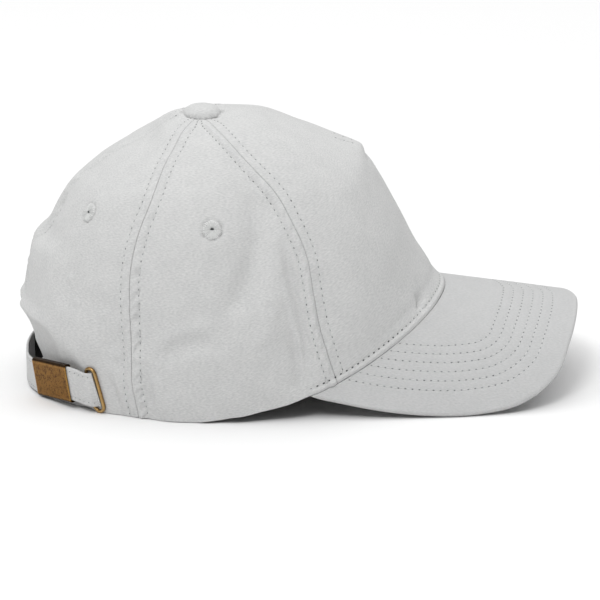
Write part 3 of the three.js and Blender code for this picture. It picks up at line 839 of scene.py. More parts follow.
    def seam_line(self, seam: Seam, share: Array) -> Array:
        """Angle of a seam at each step up the cloth."""
        if seam is Seam.BACK_MIDDLE:
            return np.full_like(share, -180.0)
        table = self.front_seam if "front" in seam.value else self.back_seam
        return along(table, share) * (-1 if "right" in seam.value else 1)

    def profile(self, rows: tuple[tuple[float, ...], ...], angle: Array, share: Array) -> Array:
        """A profile value at any angle, smooth from one profile to the next.

        Args:
            rows: The reach or rise table.
            angle: Angles about the button, in degrees.
            share: Steps up the cloth.

        Returns:
            The value at each place.
        """
        a = np.abs(angle)
        a = np.where(a > 180, 360 - a, a)
        values = np.stack([along(row, share) for row in rows])
        values = np.concatenate([values[1:2], values, values[3:4]])
        places = np.array([-48, *self.profile_angles, 235.0])
        i = np.clip(np.searchsorted(np.array(self.profile_angles), a, side="left") - 1, 0, 3)
        n = np.arange(a.size).reshape(a.shape)
        flat = values.reshape(len(values), -1)

        def pick(k: Array) -> Array:
            """The value on the profile next to each place."""
            return flat[k.ravel(), n.ravel()].reshape(a.shape)

        before, b, c, after = (pick(i + k) for k in range(4))
        span = places[i + 2] - places[i + 1]
        slope_in = (c - before) / (places[i + 2] - places[i]) * span
        slope_out = (after - b) / (places[i + 3] - places[i + 1]) * span
        return hermite(b, c, slope_in, slope_out, (a - places[i + 1]) / span)

    def opening_radius(self, angle: Array) -> Array:
        """Distance from the button's axis to the oval of the head opening, in plan."""
        a, b = self.length / 2, self.width / 2
        c, s = cos_sin(angle)
        k = (c / a) ** 2 + (s / b) ** 2
        half = self.setback * c / a ** 2
        return (half + np.sqrt(half ** 2 + k * (1 - (self.setback / a) ** 2))) / k

    def peak_top(self, x: Array, y: Array) -> Array:
        """Height of the board's top face over a plan point."""
        side = np.minimum(np.abs(y), self.peak_bend * 0.995)
        drop = self.peak_bend - np.sqrt(self.peak_bend ** 2 - side ** 2)
        crest = self.crest_dip * bell(y, 0, 60.0)
        return self.peak_rise - crest - (x - self.length / 2) * self.peak_slope - drop

    def edge_height(self, angle: Array) -> Array:
        """Height of the crown's edge: on the board in front, zero at the sides."""
        r, (c, s) = self.opening_radius(angle), cos_sin(angle)
        x, y = r * c - self.setback, r * s
        steep = np.abs(y) / np.sqrt(np.maximum(self.peak_bend ** 2 - y ** 2, 1))
        clear = 0.15 * self.gap * np.sqrt(1 + steep ** 2 + self.peak_slope ** 2)
        ahead = smoothstep(x, -0.109 * self.length, 0.1584 * self.length)
        return (self.peak_top(x, y) + clear) * ahead

    def smooth(self, angle: Array, share: Array) -> Array:
        """The crown's face before it has any fold."""
        reach = self.opening_radius(angle) * self.profile(self.reach, angle, share)
        low = self.edge_height(angle)
        z = low + (self.height - low) * self.profile(self.rise, angle, share)
        c, s = cos_sin(angle)
        return np.stack([reach * c - self.setback, reach * s, z], axis=-1)

    def slopes(self, surface: Surface, angle: Array, share: Array) -> tuple[Array, Array]:
        """How a surface's place changes per degree and per step."""
        da, ds = 0.4, 0.004
        share = np.clip(share, 0.004, 0.996)
        across = (surface(angle + da, share) - surface(angle - da, share)) / (2 * da)
        up = (surface(angle, share + ds) - surface(angle, share - ds)) / (2 * ds)
        return across, up

    def normal(self, surface: Surface, angle: Array, share: Array) -> Array:
        """Outward normal of a surface."""
        across, up = self.slopes(surface, angle, share)
        return unit(np.cross(across, up))

    def face_normal(self, angle: Array, share: Array) -> Array:
        """Outward normal of the face with its dents and folds."""
        return self.normal(self.face, angle, share)

    def face(self, angle: Array, share: Array) -> Array:
        """The crown's outer face with its dents and folds, as in the solids."""
        angle, share = np.asarray(angle, float), np.asarray(share, float)
        place = self.smooth(angle, share)
        inward = np.zeros(angle.shape)
        for fold, ends in zip(self.folds, self.fold_ends):
            inward += fold.depth * bell(from_segment(place, *ends), 0, fold.width)
        inward *= smoothstep(share, 0, 0.06)
        return place - self.normal(self.smooth, angle, share) * inward[..., None]

    def near_seam(self, places: Array) -> tuple[Array, Array]:
        """Distance of each place to its nearest seam, and that seam point's number."""
        flat = places.reshape(-1, 3)
        found = [self.tree.find(Vector(p)) for p in flat]
        distance = np.array([f[2] for f in found]).reshape(places.shape[:-1])
        number = np.array([f[1] for f in found]).reshape(places.shape[:-1])
        return distance, number

    def relief(self, angle: Array, share: Array, places: Array) -> Array:
        """How far the dressed cloth stands out from the solid's face.

        Args:
            angle: Angles about the button.
            share: Steps up the cloth.
            places: The solid's face there.

        Returns:
            Outward distance at each place, in mm.
        """
        turned = np.where(angle < -180 + 1e-9, angle + 360, angle)
        out = self.seam_relief(turned, share, places)
        # Cloth that is never quite even.
        calm = 0.55 + 0.45 * smoothstep(np.abs(turned), 50, 64)
        out += calm * (1.1 * waver(places, 34, 3.1) + 0.55 * waver(places, 14, 9.2))
        # Crumpling low on the sides, where the soft panels carry the cap.
        low = smoothstep(share, 0.42, 0.12) * smoothstep(np.abs(turned), 55, 66)
        slant = places @ np.array([[1.0, 0.0, 0.35], [0.0, 1.0, 0.0], [0.25, 0.0, 0.4]]).T
        out += low * 1.1 * waver(slant, 11, 1.7)
        out -= self.creased(places)
        # The ragged groove that each eyelet's stitches pull round themselves.
        for place in self.eyelet_places:
            off = np.linalg.norm(places - place, axis=-1)
            near = off < 6.5
            torn = 1 + 1.4 * waver(places[near], 1.8, 6.6)
            out[near] -= 0.75 * torn * bell(off[near], 4.75, 0.5)
        out *= smoothstep(share, 1.0, 0.9) * 0.6 + 0.4
        return out - self.trimmed(turned, share) - self.dimple(places)

    def seam_relief(self, turned: Array, share: Array, places: Array) -> Array:
        """How the cloth rises and falls beside the seams.

        Args:
            turned: Angles about the button, from -180 to 180.
            share: Steps up the cloth.
            places: The solid's face there.

        Returns:
            Outward distance at each place, in mm.
        """
        d, number = self.near_seam(places)
        seam = self.seam_of[number]
        rear = np.abs(turned) > np.abs(self.seam_angle[number])
        front_seam = seam <= 1
        before_front = front_seam & ~rear
        before_back = ((seam == 2) | (seam == 3)) & ~rear
        # The folded seam allowance stands out, and the row of stitches pulls a groove.
        near_top = smoothstep(share, 0.97, 0.86)
        ridge = np.where(front_seam, np.where(rear, 0.75, 0.05), 0.42)
        groove = np.where(before_front, 0.25, 0.42)
        out = ridge * bell(d, 2.2, 1.35) * near_top
        out -= groove * bell(d, self.row_offset, 0.75) * near_top
        # Small puckers that the thread's pull leaves between the seam and its rows.
        slanted = self.seam_run[number] + np.where(rear, 0.9, -0.9) * d
        pull = waver(np.stack([slanted, d * 0.5, 31.0 * seam], -1), 3.6, 7.7)
        calmer = smoothstep(share, 0.95, 0.5)
        lower = smoothstep(share, 0.50, 0.36)
        strength = np.where(before_back, 0.7 + 0.8 * lower, 0.8) * calmer
        strength = np.where(before_front, 0.25, strength)
        out += strength * pull * bell(d, 2.6, 2.2)
        # Longer slanting ripples, strongest low on the side panel.
        ripple = np.sin(slanted * (2 * math.pi / 6.6) + 7.0 * pull)
        strength = np.where(before_back, 0.30 * lower, 0.06) * calmer
        return out + strength * ripple * bell(d, 3.6, 2.8)

    def creased(self, places: Array) -> Array:
        """How far the creases push the cloth in. Each fades out towards its tips."""
        inward = np.zeros(places.shape[:-1])
        for crease, depth, line in self.crease_lines:
            middle = line.mean(axis=0)
            reach = np.linalg.norm(line - middle, axis=1).max() + 3.5 * crease.width
            near = np.linalg.norm(places - middle, axis=-1) < reach
            if near.any():
                here = places[near]
                tip = np.minimum(*(np.linalg.norm(here - line[k], axis=-1) for k in (0, -1)))
                fade = min(6 * crease.width, 0.3 * float(arc_lengths(line)[-1]))
                inward[near] += (depth * bell(from_path(here, line), 0, crease.width)
                                 * smoothstep(tip, -0.4 * fade, fade))
        return inward

    def trimmed(self, turned: Array, share: Array) -> Array:
        """How far the worn cloth lies inside the solids along its front and back lines."""
        a = np.abs(turned)
        a = np.where(a > 180, 360 - a, a)
        low = smoothstep(share, 0.55, 0.45)
        behind = smoothstep(a, 120, 142) * (1 - low) + smoothstep(a, 140, 162) * low
        ahead = smoothstep(a, 50, 22)
        return (behind * np.interp(share, *np.array(self.back_trim).T)
                + ahead * np.interp(share, *np.array(self.front_trim).T))

    def dimple(self, places: Array) -> Array:
        """How far the cloth sinks round the button, most on the right, where it leans."""
        y, r = np.minimum(places[..., 1], 0), self.plan_radius(places)
        ragged = 1 + 1.2 * waver(places, 3.0, 5.3)
        return 1.3 * bell(r, 9.3, 0.9) * ragged - 0.22 * y * bell(r, 0, 17)

    def dressed(self, angle: Array, share: Array, out: float = 0.0) -> Array:
        """The dressed cloth's face, or a face this far outside it."""
        places = self.face(angle, share)
        lift = self.relief(angle, share, places) + out
        return places + self.face_normal(angle, share) * lift[..., None]

    def step_where(self, measure: Line, angle: Array,
                   value: Array, low: float, high: float) -> Array:
        """Step at which a rising or falling measure of the face reaches a value.

        Args:
            measure: The measure of places.
            angle: Angles about the button.
            value: The value to reach.
            low: Lowest step tried.
            high: Highest step tried.

        Returns:
            A step for each angle.
        """
        angle = np.atleast_1d(np.asarray(angle, float))
        lo, hi = np.full(angle.shape, low), np.full(angle.shape, high)
        rising = measure(self.face(angle, hi)) > measure(self.face(angle, lo))
        for _ in range(15):
            middle = (lo + hi) / 2
            below = (measure(self.face(angle, middle)) < value) == rising
            lo, hi = np.where(below, middle, lo), np.where(below, hi, middle)
        return (lo + hi) / 2

    def step_at(self, angle: Array, height: Array, high: float = 0.4) -> Array:
        """Step at which the face reaches a height, between the edge and a highest step."""
        return self.step_where(lambda p: p[..., 2], angle, height, 0.0, high)

    def plan_radius(self, places: Array) -> Array:
        """Distance of places from the button's axis, in plan."""
        return np.hypot(places[..., 0] + self.setback, places[..., 1])

    def offset_line(self, angle: Array, share: Array, distance: Array) -> tuple[Array, Array]:
        """Moves a line sideways over the face.

        Args:
            angle: The line's angles.
            share: The line's steps.
            distance: How far at each point, plus towards greater angles.

        Returns:
            The new line's angles and steps.
        """
        for _ in range(4):
            places = self.face(angle, share)
            across, up = self.slopes(self.face, angle, share)
            run = unit(np.gradient(places, axis=0))
            side = np.cross(unit(np.cross(across, up)), run)
            side *= np.sign(dots(side, across))[:, None]
            aa, ab, bb = dots(across, across), dots(across, up), dots(up, up)
            ra, rb = dots(across, side) * distance / 4, dots(up, side) * distance / 4
            det = aa * bb - ab * ab
            angle = angle + (ra * bb - rb * ab) / det
            share = share + (aa * rb - ab * ra) / det
        return angle, share

    def local(self, angle: float, share: float, x: Array, y: Array) -> tuple[Array, Array]:
        """Angles and steps of places given flat about a point, x across and y up."""
        (across,), (up,) = self.slopes(self.face, np.array([angle]), np.array([share]))
        drift = dots(up, across) / dots(across, across)
        ds = y / np.linalg.norm(up - across * drift)
        return angle + x / np.linalg.norm(across) - ds * drift, share + ds


def from_path(places: Array, line: Array) -> Array:
    """Distance of places from a line of straight segments."""
    return np.minimum.reduce([from_segment(places, a, b) for a, b in zip(line, line[1:])])


def from_segment(places: Array, start: Array, end: Array) -> Array:
    """Distance of places from a straight segment."""
    run = end - start
    t = np.clip(((places - start) @ run) / (run @ run), 0, 1)
    return np.linalg.norm(places - start - t[..., None] * run, axis=-1)


# ---------------------------------------------------------------- stitching


@dataclass
class StitchRow:
    """One row of stitches: places along it and the cloth's normals there."""

    places: Array
    normals: Array
    strong: bool = False


@dataclass
class Stitching:
    """All the stitches of one piece: short threads that lie between needle holes.

    Attributes:
        pitch: Distance from hole to hole, in mm.
        thread: Half the width of a thread, in mm.
        hole: Half the length of a hole, in mm, before it is stretched.
        stretch: How much longer a hole is along the row.
        rows: The rows to sew.
    """

    pitch: float = 3.3
    thread: float = 0.24
    hole: float = 0.40
    stretch: float = 1.1
    rows: list[StitchRow] = field(default_factory=list)

    def spread(self, row: StitchRow) -> tuple[Array, Array]:
        """Needle holes along a row, at the stitch's pitch, with their normals."""
        run = arc_lengths(row.places)
        count = max(int(run[-1] / self.pitch), 1)
        at = np.linspace(0, run[-1], count + 1)
        places = np.stack([np.interp(at, run, row.places[:, k]) for k in range(3)], axis=-1)
        normals = np.stack([np.interp(at, run, row.normals[:, k]) for k in range(3)], axis=-1)
        return places, unit(normals)

    def build(self, name: str, finishes: Finishes) -> None:
        """Sews every row and adds the needle holes.

        Args:
            name: Start of the pieces' names.
            finishes: The finishes.
        """
        threads = bmesh.new()
        holes = {False: bmesh.new(), True: bmesh.new()}
        for row in self.rows:
            places, normals = self.spread(row)
            sewn, pierced = bmesh.new(), bmesh.new()
            half = (0.38 * self.pitch, self.thread, 0.8 * self.thread)
            for here, ahead, normal in zip(places, places[1:], normals):
                matrix = self.frame((here + ahead) / 2, normal, ahead - here, 0.03)
                self.pip(sewn, matrix, half, 6, Matrix.Rotation(math.pi / 2, 4, "Y"))
            # Each needle hole is a dark flat bead of painted shade, wider and darker on strong
            # rows.
            wide = self.hole * (1.3 if row.strong else 1.0)
            half = (self.stretch * wide, 0.8 * wide, 0.16)
            for k, place in enumerate(places):
                ahead = places[min(k + 1, len(places) - 1)] - places[max(k - 1, 0)]
                self.pip(pierced, self.frame(place, normals[k], ahead, -0.02), half, 8)
            self.collect(sewn, threads)
            self.collect(pierced, holes[row.strong])
        self.finish(f"{name}_stitches", threads, finishes.thread)
        self.finish(f"{name}_needle_holes", holes[False], finishes.hole)
        self.finish(f"{name}_deep_needle_holes", holes[True], finishes.deep_hole_shade)

    @staticmethod
    def frame(place: Array, normal: Array, ahead: Array, lift: float) -> Matrix:
        """Matrix with X along the row and Z out of the cloth."""
        x = Vector(ahead).normalized()
        z = Vector(normal)
        y = z.cross(x).normalized()
        z = x.cross(y)
        at = Vector(in_row(place + normal * lift))
        return Matrix.Translation(at) @ Matrix((x, y, z)).transposed().to_4x4()

    @staticmethod
    def pip(bm: BMesh, matrix: Matrix, half: Sequence[float], segments: int,
            poles: Matrix = Matrix.Identity(4), rings: int = 4) -> None:
        """Adds a small egg shape.

        Args:
            bm: The bmesh that it is added to.
            matrix: Its place and directions.
            half: Its half lengths, in mm.
            segments: Number of its faces round its poles.
            poles: Turn that its poles take first.
            rings: Number of its faces from pole to pole.
        """
        size = Matrix.Diagonal((*(MM * length for length in half), 1))
        bmesh.ops.create_uvsphere(bm, u_segments=segments, v_segments=rings, radius=1,
                                  matrix=matrix @ size @ poles)

    @staticmethod
    def collect(row: BMesh, whole: BMesh) -> None:
        """Adds one row's bmesh to the whole, which is far quicker than growing one."""
        mesh = bpy.data.meshes.new("row")
        row.to_mesh(mesh)
        row.free()
        whole.from_mesh(mesh)
        bpy.data.meshes.remove(mesh)

    @staticmethod
    def finish(name: str, bm: BMesh, material: Material) -> None:
        """Turns one bmesh of small shapes into a dressed piece, if it has any."""
        if not bm.verts:
            bm.free()
            return
        piece = to_mesh(name, bm)
        piece.data.shade_smooth()
        dress(piece, material, "pale_cloth")


# ---------------------------------------------------------------- panels


@dataclass
class Crown:
    """The five panels with their seams, rows of stitches and hems.

    Attributes:
        shape: The crown's shape.
        front_cloth: Thickness of the front panel's cloth. All lengths are in mm.
        plain_cloth: Thickness of the other panels' cloth.
        arch_half_width: Half the width of the back opening.
        arch_height: Its height.
        top_radius: Distance from the button's axis at which the panels end.
        seam_gap: Gap between two panels at a seam.
        roll: Radius with which a panel's edges turn in.
        pitch: Greatest distance between vertices.
        hem: Distance of the row over the peak from the crown's edge.
    """

    shape: CrownShape
    front_cloth: float = 2.0
    plain_cloth: float = 1.5
    arch_half_width: float = 42.0
    arch_height: float = 25.0
    top_radius: float = 4.125
    seam_gap: float = 0.06
    roll: float = 0.55
    pitch: float = 0.85
    hem: float = 3.3

    def edge(self, seam: Seam, towards: int) -> Line:
        """A panel's edge, half a gap away from a seam.

        Args:
            seam: The seam.
            towards: 1 for the side with the greater angles, -1 for the other.

        Returns:
            Function from step to angle.
        """
        def angle_at(share: Array) -> Array:
            """Angle of the edge at each step."""
            line = self.shape.seam_line(seam, share)
            if seam is Seam.BACK_MIDDLE and towards < 0:
                line = line + 360
            places = self.shape.smooth(line, share)
            r = np.maximum(self.shape.plan_radius(places), 2)
            return line + towards * np.degrees(0.5 * self.seam_gap / r)
        return angle_at

    def arch_step(self, angle: Array) -> Array:
        """Step at which the back panels begin, on the arch or on the crown's edge."""
        share = np.zeros(angle.shape)
        for _ in range(6):
            y = np.abs(self.shape.smooth(angle, share)[..., 1])
            inside = y < self.arch_half_width
            z = self.arch_height * (1 - np.minimum(y / self.arch_half_width, 1) ** 1.9)
            share = np.where(inside, self.shape.step_at(angle, z), 0)
        return share

    def panel(self, name: str, first: Line,
              second: Line, cloth: float, pitch: float,
              arched: bool = False) -> Object:
        """One panel between two edges, its columns running to the right from outside.

        Args:
            name: The piece's name.
            first: Edge with the smaller angles.
            second: Edge with the greater angles.
            cloth: Thickness of the cloth.
            pitch: Greatest distance between its vertices.
            arched: Whether its lower edge follows the back opening.

        Returns:
            The piece, still undressed.
        """
        shape = self.shape
        mean_radius, tallest = 88, 165

        def between(step: float, part: Array) -> Array:
            """Angles at one step, this part of the way from the first edge."""
            at = np.array([step])
            return first(at) + (second(at) - first(at)) * part

        wide = float(np.radians(second(np.array([0.3])) - first(np.array([0.3])))[0])
        across = eased(wide * mean_radius, 0.12, pitch)
        up = eased(tallest, 0.14, pitch, 0.12)
        high = shape.step_where(shape.plan_radius, between(0.95, across), self.top_radius,
                                0.8, 1.0)
        low = self.arch_step(between(0.0, across)) if arched else np.zeros(len(across))
        share = low[:, None] + (high - low)[:, None] * up[None, :]
        left, right = first(share), second(share)
        angle = left + (right - left) * across[:, None]
        face = shape.face(angle, share)
        normal = shape.face_normal(angle, share)
        lift = shape.relief(angle, share, face)
        lift += self.hem_relief(angle, face)
        lift -= self.rolled(face)
        outer = face + normal * lift[..., None]
        inner = face + normal * (np.minimum(lift, 0) - cloth)[..., None]
        inner[..., 2] = np.maximum(inner[..., 2], face[:, :1, 2])
        # The lower edge is never quite level, except on the board.
        uneven = 0.5 * smoothstep(np.abs(angle[:, 0]), 60, 75) * (
            0.5 + waver(face[:, 0], 7, 4.4))
        near = np.exp(-np.arange(face.shape[1]) / 6.0)
        outer[:, 0, 2] = face[:, 0, 2]
        outer[..., 2] += uneven[:, None] * near[None, :]
        inner[..., 2] += uneven[:, None] * near[None, :]
        x = np.radians(angle - (left + right) / 2) * shape.plan_radius(face)
        y = arc_lengths(face, 1)[len(across) // 2][None, :] + 0 * x
        return cloth_shell(name, outer, inner, np.stack([x, y], axis=-1))

    def rolled(self, face: Array) -> Array:
        """How far the cloth turns in near a panel's sides and its lower edge."""
        from_left = arc_lengths(face, 0)
        from_right = from_left[-1:] - from_left
        d = np.minimum(np.minimum(from_left, from_right), 2.5 * arc_lengths(face, 1))
        inside = np.clip(1 - d / self.roll, 0, 1)
        return self.roll * (1 - np.sqrt(1 - inside ** 2))

    def hem_relief(self, angle: Array, face: Array) -> Array:
        """Rolled band over the peak, and the groove of its row of stitches."""
        up = arc_lengths(face, 1)
        over_peak = smoothstep(np.abs(angle), 62, 56)
        return over_peak * (0.35 * bell(up, 1.5, 0.9) - 0.30 * bell(up, self.hem, 0.7))

    def build(self, finishes: Finishes) -> None:
        """Builds, sews and dresses the panels."""
        plain, front = self.plain_cloth, self.front_cloth
        panels = (
            ("front_panel", Seam.FRONT_RIGHT, Seam.FRONT_LEFT, front, False),
            ("side_panel_right", Seam.BACK_RIGHT, Seam.FRONT_RIGHT, plain, False),
            ("side_panel_left", Seam.FRONT_LEFT, Seam.BACK_LEFT, plain, False),
            ("back_panel_right", Seam.BACK_MIDDLE, Seam.BACK_RIGHT, plain, True),
            ("back_panel_left", Seam.BACK_LEFT, Seam.BACK_MIDDLE, plain, True),
        )
        for name, first, second, cloth, arched in panels:
            pitch = self.pitch * (1.1 if name == "front_panel" else 1.0)
            piece = self.panel(f"{name}_cloth", self.edge(first, 1), self.edge(second, -1),
                               cloth, pitch, arched)
            dress(piece, finishes.twill, "pale_cloth", name)
        self.sew(finishes)

    def seam_row(self, seam: Seam, towards: int) -> StitchRow:
        """The row of stitches on one side of a seam, where the panel is wide enough."""
        shape = self.shape
        low, narrowest = 0.012, 26
        if seam is Seam.BACK_MIDDLE:
            low, narrowest = float(self.arch_step(np.array([-179.5]))[0]) + 0.012, 40
        share = np.linspace(low, 0.955, 260)
        angle = shape.seam_line(seam, share)
        if seam is Seam.BACK_MIDDLE and towards < 0:
            angle = angle + 360
        r = shape.plan_radius(shape.face(angle, share))
        free = np.radians(narrowest) * r * 0.42
        angle, share = shape.offset_line(angle, share,
                                         towards * np.minimum(shape.row_offset, free))
        keep = shape.plan_radius(shape.face(angle, share)) > 13
        return self.row_on(angle[keep], np.clip(share[keep], 0.004, 0.99))

    def row_on(self, angle: Array, share: Array, out: float = 0.0,
               strong: bool = False) -> StitchRow:
        """A row of stitches on the dressed cloth, or this far outside it."""
        return StitchRow(self.shape.dressed(angle, share, out),
                         self.shape.face_normal(angle, share), strong)

    def edge_row(self, start: float, end: float, strong: bool) -> StitchRow:
        """A stretch of the row of stitches along the crown's edge over the peak.

        Args:
            start: Angle at which it starts.
            end: Angle at which it ends.
            strong: Whether its holes get the darker painted shade.

        Returns:
            The row.
        """
        angle = np.linspace(start, end, 400)
        share = np.full(angle.shape, 0.001)
        _, up = self.shape.slopes(self.shape.face, angle, share)
        return self.row_on(angle, share + self.hem / np.linalg.norm(up, axis=-1), -0.25, strong)

    def dart_row(self, side: int) -> StitchRow:
        """The few stitches that hold the front's dart on one side of its middle."""
        return self.row_on(side * np.linspace(4.6, 2.5, 30), np.linspace(0.585, 0.528, 30))

    def sew(self, finishes: Finishes) -> None:
        """Sews the seams' twin rows and the row over the peak."""
        seams = Stitching(stretch=1.45)
        for seam in Seam:
            for towards in (-1, 1):
                seams.rows.append(self.seam_row(seam, towards))
        seams.rows += [self.dart_row(-1), self.dart_row(1)]
        seams.build("crown_seam", finishes)
        edge = Stitching(hole=0.44)
        stops = (-58.8, -30.0, 30.0, 58.8)
        for start, end, strong in zip(stops, stops[1:], (True, False, True)):
            edge.rows.append(self.edge_row(start, end, strong))
        edge.build("crown_edge", finishes)


# ---------------------------------------------------------------- peak


@dataclass
class Peak:
    """The stitched board, a flat shape bent round a sloping cylinder.

    Attributes:
        shape: The crown's shape.
        centre: Distance ahead of the opening's middle from which its edge is measured.
        spread: Length by which the outline is measured across. All lengths are in mm.
        corner: Bearing of its corners from that centre, in degrees.
        thickness: Its thickness.
        outline: Distance of its edge at even bearings from 0 to 90 degrees, as a share.
        rows: Number of rows of stitches.
        row_first: Distance of the first row from the edge.
        row_pitch: Distance from row to row.
    """

    shape: CrownShape
    centre: float = 29.997
    spread: float = 202.0054
    corner: float = 89.2
    thickness: float = 2.6
    outline: tuple[float, ...] = (
        0.6733, 0.6678, 0.6688, 0.6762, 0.6550, 0.6054, 0.5545, 0.5139, 0.4842, 0.4673)
    rows: int = 6
    row_first: float = 12.2
    row_pitch: float = 4.8

    def flat_edge(self, bearing: Array) -> Array:
        """Outer edge of the flat board at each bearing, about its own centre."""
        radius = along(self.outline, np.abs(bearing) / 90)
        c, s = cos_sin(bearing)
        return np.stack([radius * c * self.shape.length, radius * s * self.spread], axis=-1)

    def plan(self, flat: Array) -> Array:
        """Plan places of flat places, once the board is bent."""
        bend = self.shape.peak_bend
        return np.stack([self.centre + flat[..., 0], bend * np.sin(flat[..., 1] / bend)], -1)

    def inner_share(self, flat: Array) -> Array:
        """Share of the way from the centre to the outer edge where the crown ends."""
        low, high = np.zeros(len(flat)), np.ones(len(flat))
        for _ in range(30):
            middle = (low + high) / 2
            inside = self.oval(flat * middle[:, None]) < 1
            low, high = np.where(inside, middle, low), np.where(inside, high, middle)
        return low

    def oval(self, flat: Array) -> Array:
        """How far out flat places lie once bent: 1 is the oval of the head opening."""
        p = self.plan(flat)
        return np.hypot(2 * p[:, 0] / self.shape.length, 2 * p[:, 1] / self.shape.width)

    def lifted(self, flat: Array, depth: Array) -> Array:
        """Places of flat places on the bent board, this far under its top."""
        p = self.plan(flat)
        bend = self.shape.peak_bend
        y = np.clip(p[..., 1], -0.995 * bend, 0.995 * bend)
        top = self.shape.peak_top(p[..., 0], p[..., 1])
        level = np.sqrt(bend ** 2 - y ** 2)
        normal = unit(np.stack([np.full_like(y, self.shape.peak_slope), y / level,
                                np.ones_like(y)], axis=-1))
        point = np.concatenate([p, top[..., None]], axis=-1)
        return point - normal * np.asarray(depth)[..., None]

    def normals(self, flat: Array) -> Array:
        """Normals of the bent board."""
        return unit(self.lifted(flat, np.zeros(flat.shape[:-1]))
                    - self.lifted(flat, np.ones(flat.shape[:-1])))

    def row_line(self, inset: float) -> Array:
        """Flat line this far inside the outer edge, cut off at the crown."""
        bearing = np.linspace(-100, 100, 1600)
        edge = self.flat_edge(bearing)
        run = np.gradient(edge, axis=0)
        side = unit(np.stack([-run[:, 1], run[:, 0]], axis=-1))
        line = edge + side * inset
        return line[(self.oval(line) > 1.008) & (np.abs(bearing) < 89)]

    def row_lines(self) -> list[Array]:
        """Flat lines of the rows of stitches, the outermost first."""
        return [self.row_line(self.row_first + k * self.row_pitch) for k in range(self.rows)]

    def relief(self, flat: Array) -> Array:
        """Shallow channels under the rows of stitches, and a little unevenness."""
        points = np.concatenate([line[:: max(len(line) // 390, 1)][:400]
                                 for line in self.row_lines()])
        tree = kdtree.KDTree(len(points))
        for n, (x, y) in enumerate(points):
            tree.insert(Vector((x, y, 0)), n)
        tree.balance()
        d = np.array([tree.find(Vector((p[0], p[1], 0)))[2] for p in flat.reshape(-1, 2)])
        d = d.reshape(flat.shape[:-1])
        return self.uneven(flat) - 0.20 * bell(d, 0, 0.8)

    @staticmethod
    def uneven(flat: Array) -> Array:
        """The board's slight waviness."""
        places = np.concatenate([flat, np.zeros(flat.shape[:-1] + (1,))], axis=-1)
        return 0.22 * waver(places, 30, 5.5)

    def build(self, finishes: Finishes) -> None:
        """Builds, sews and dresses the peak."""
        bearing = self.corner * (2 * eased(215, 0.5, 0.85, 0.2) - 1)
        edge = self.flat_edge(bearing)
        inner = edge * self.inner_share(edge)[:, None]
        width = np.linalg.norm(edge - inner, axis=1)
        half = np.minimum(self.thickness / 2, 0.42 * width + 0.05)
        top = eased(66, 0.25, 0.85, 0.2, both=False)[::-1]
        turn = np.radians(np.linspace(90, -90, 11))
        rim = np.stack([1 - np.cos(turn), 1 - np.sin(turn)], axis=-1)
        # Each line round the board: its distance inside the edge and its depth.
        lines = [(half + (width - half) * share, 0 * half) for share in top[:-1]]
        lines += [(half * d, half * deep) for d, deep in rim]
        lines += [(half + (width - half) * share, 2 * half) for share in top[::-1][1:]]
        lines.append(lines[0])
        flat_grid = np.stack([self.inward(edge, inner, width, d) for d, _ in lines], axis=1)
        depth_grid = np.stack([depth for _, depth in lines], axis=1)
        on_top = np.zeros(depth_grid.shape)
        count = len(top) - 1
        on_top[:, :count] = self.relief(flat_grid[:, :count])
        on_top[:, -1] = on_top[:, 0]
        grid = self.lifted(flat_grid, depth_grid - on_top)
        piece = wrapped("peak_cloth", grid, flat_grid)
        dress(piece, finishes.shaded_peak_twill, "pale_cloth", "peak")
        self.sew(finishes)

    @staticmethod
    def inward(edge: Array, inner: Array, width: Array, distance: Array) -> Array:
        """Flat places this far inside the outer edge, towards the crown."""
        share = (distance / np.maximum(width, 1e-6))[:, None]
        return edge + (inner - edge) * share

    def sew(self, finishes: Finishes) -> None:
        """Sews the rows that follow the outer edge."""
        rows = Stitching(hole=0.46, thread=0.2)
        for line in self.row_lines():
            depth = 0.17 - self.uneven(line)
            rows.rows.append(StitchRow(self.lifted(line, depth), self.normals(line)))
        rows.build("peak", finishes)


# ---------------------------------------------------------------- button and eyelets


@dataclass
class Button:
    """The covered button: a soft dome, drawn down into the cloth and leaning to the right."""

    shape: CrownShape
    diameter: float = 18.0
    height: float = 3.7
    sunk: float = 0.9
    lean: float = 8.5
    gathers: int = 22

    def build(self, finishes: Finishes) -> None:
        """Builds and dresses the button."""
        r = self.diameter / 2
        around = np.radians(np.linspace(0, 360, 181))
        # From the middle of its underside to its top: shares of the radius and height.
        rows = [(0.0, -0.34), (0.5, -0.34), (0.86, -0.32), (0.93, -0.20), (0.985, -0.06)]
        rows += [(math.cos(t) ** 0.75 if t < 1.57 else 0.0, math.sin(t) ** 1.15)
                 for t in np.radians(np.linspace(1, 90, 30))]
        profile = np.array(rows)
        gather = np.cos(self.gathers * around + 2.4 * np.sin(3 * around))
        rim = np.stack([r * np.cos(around), r * np.sin(around), 0 * around], axis=-1)
        gather = 0.11 * gather + 0.5 * waver(rim, 1.6, 6.1)
        ripple = gather[:, None] * bell(profile[:, 0], 1.0, 0.14)[None, :]
        radius = (profile[:, 0] * r)[None, :] + ripple
        x, y = radius * np.cos(around)[:, None], radius * np.sin(around)[:, None]
        z = np.broadcast_to((profile[:, 1] * self.height)[None, :], x.shape)
        tilt = math.radians(self.lean)
        base = float(_button_low[2]) / MM - self.sunk
        grid = np.stack([x - self.shape.setback, y * math.cos(tilt) - z * math.sin(tilt),
                         base + z * math.cos(tilt) + y * math.sin(tilt)], axis=-1)
        grid[..., 2] += 0.18 * waver(grid, 4.0, 3.3)
        grid[-1] = grid[0]
        piece = wrapped("button_cloth", grid, np.stack([x, y], axis=-1))
        dress(piece, finishes.twill, "pale_cloth", "button")


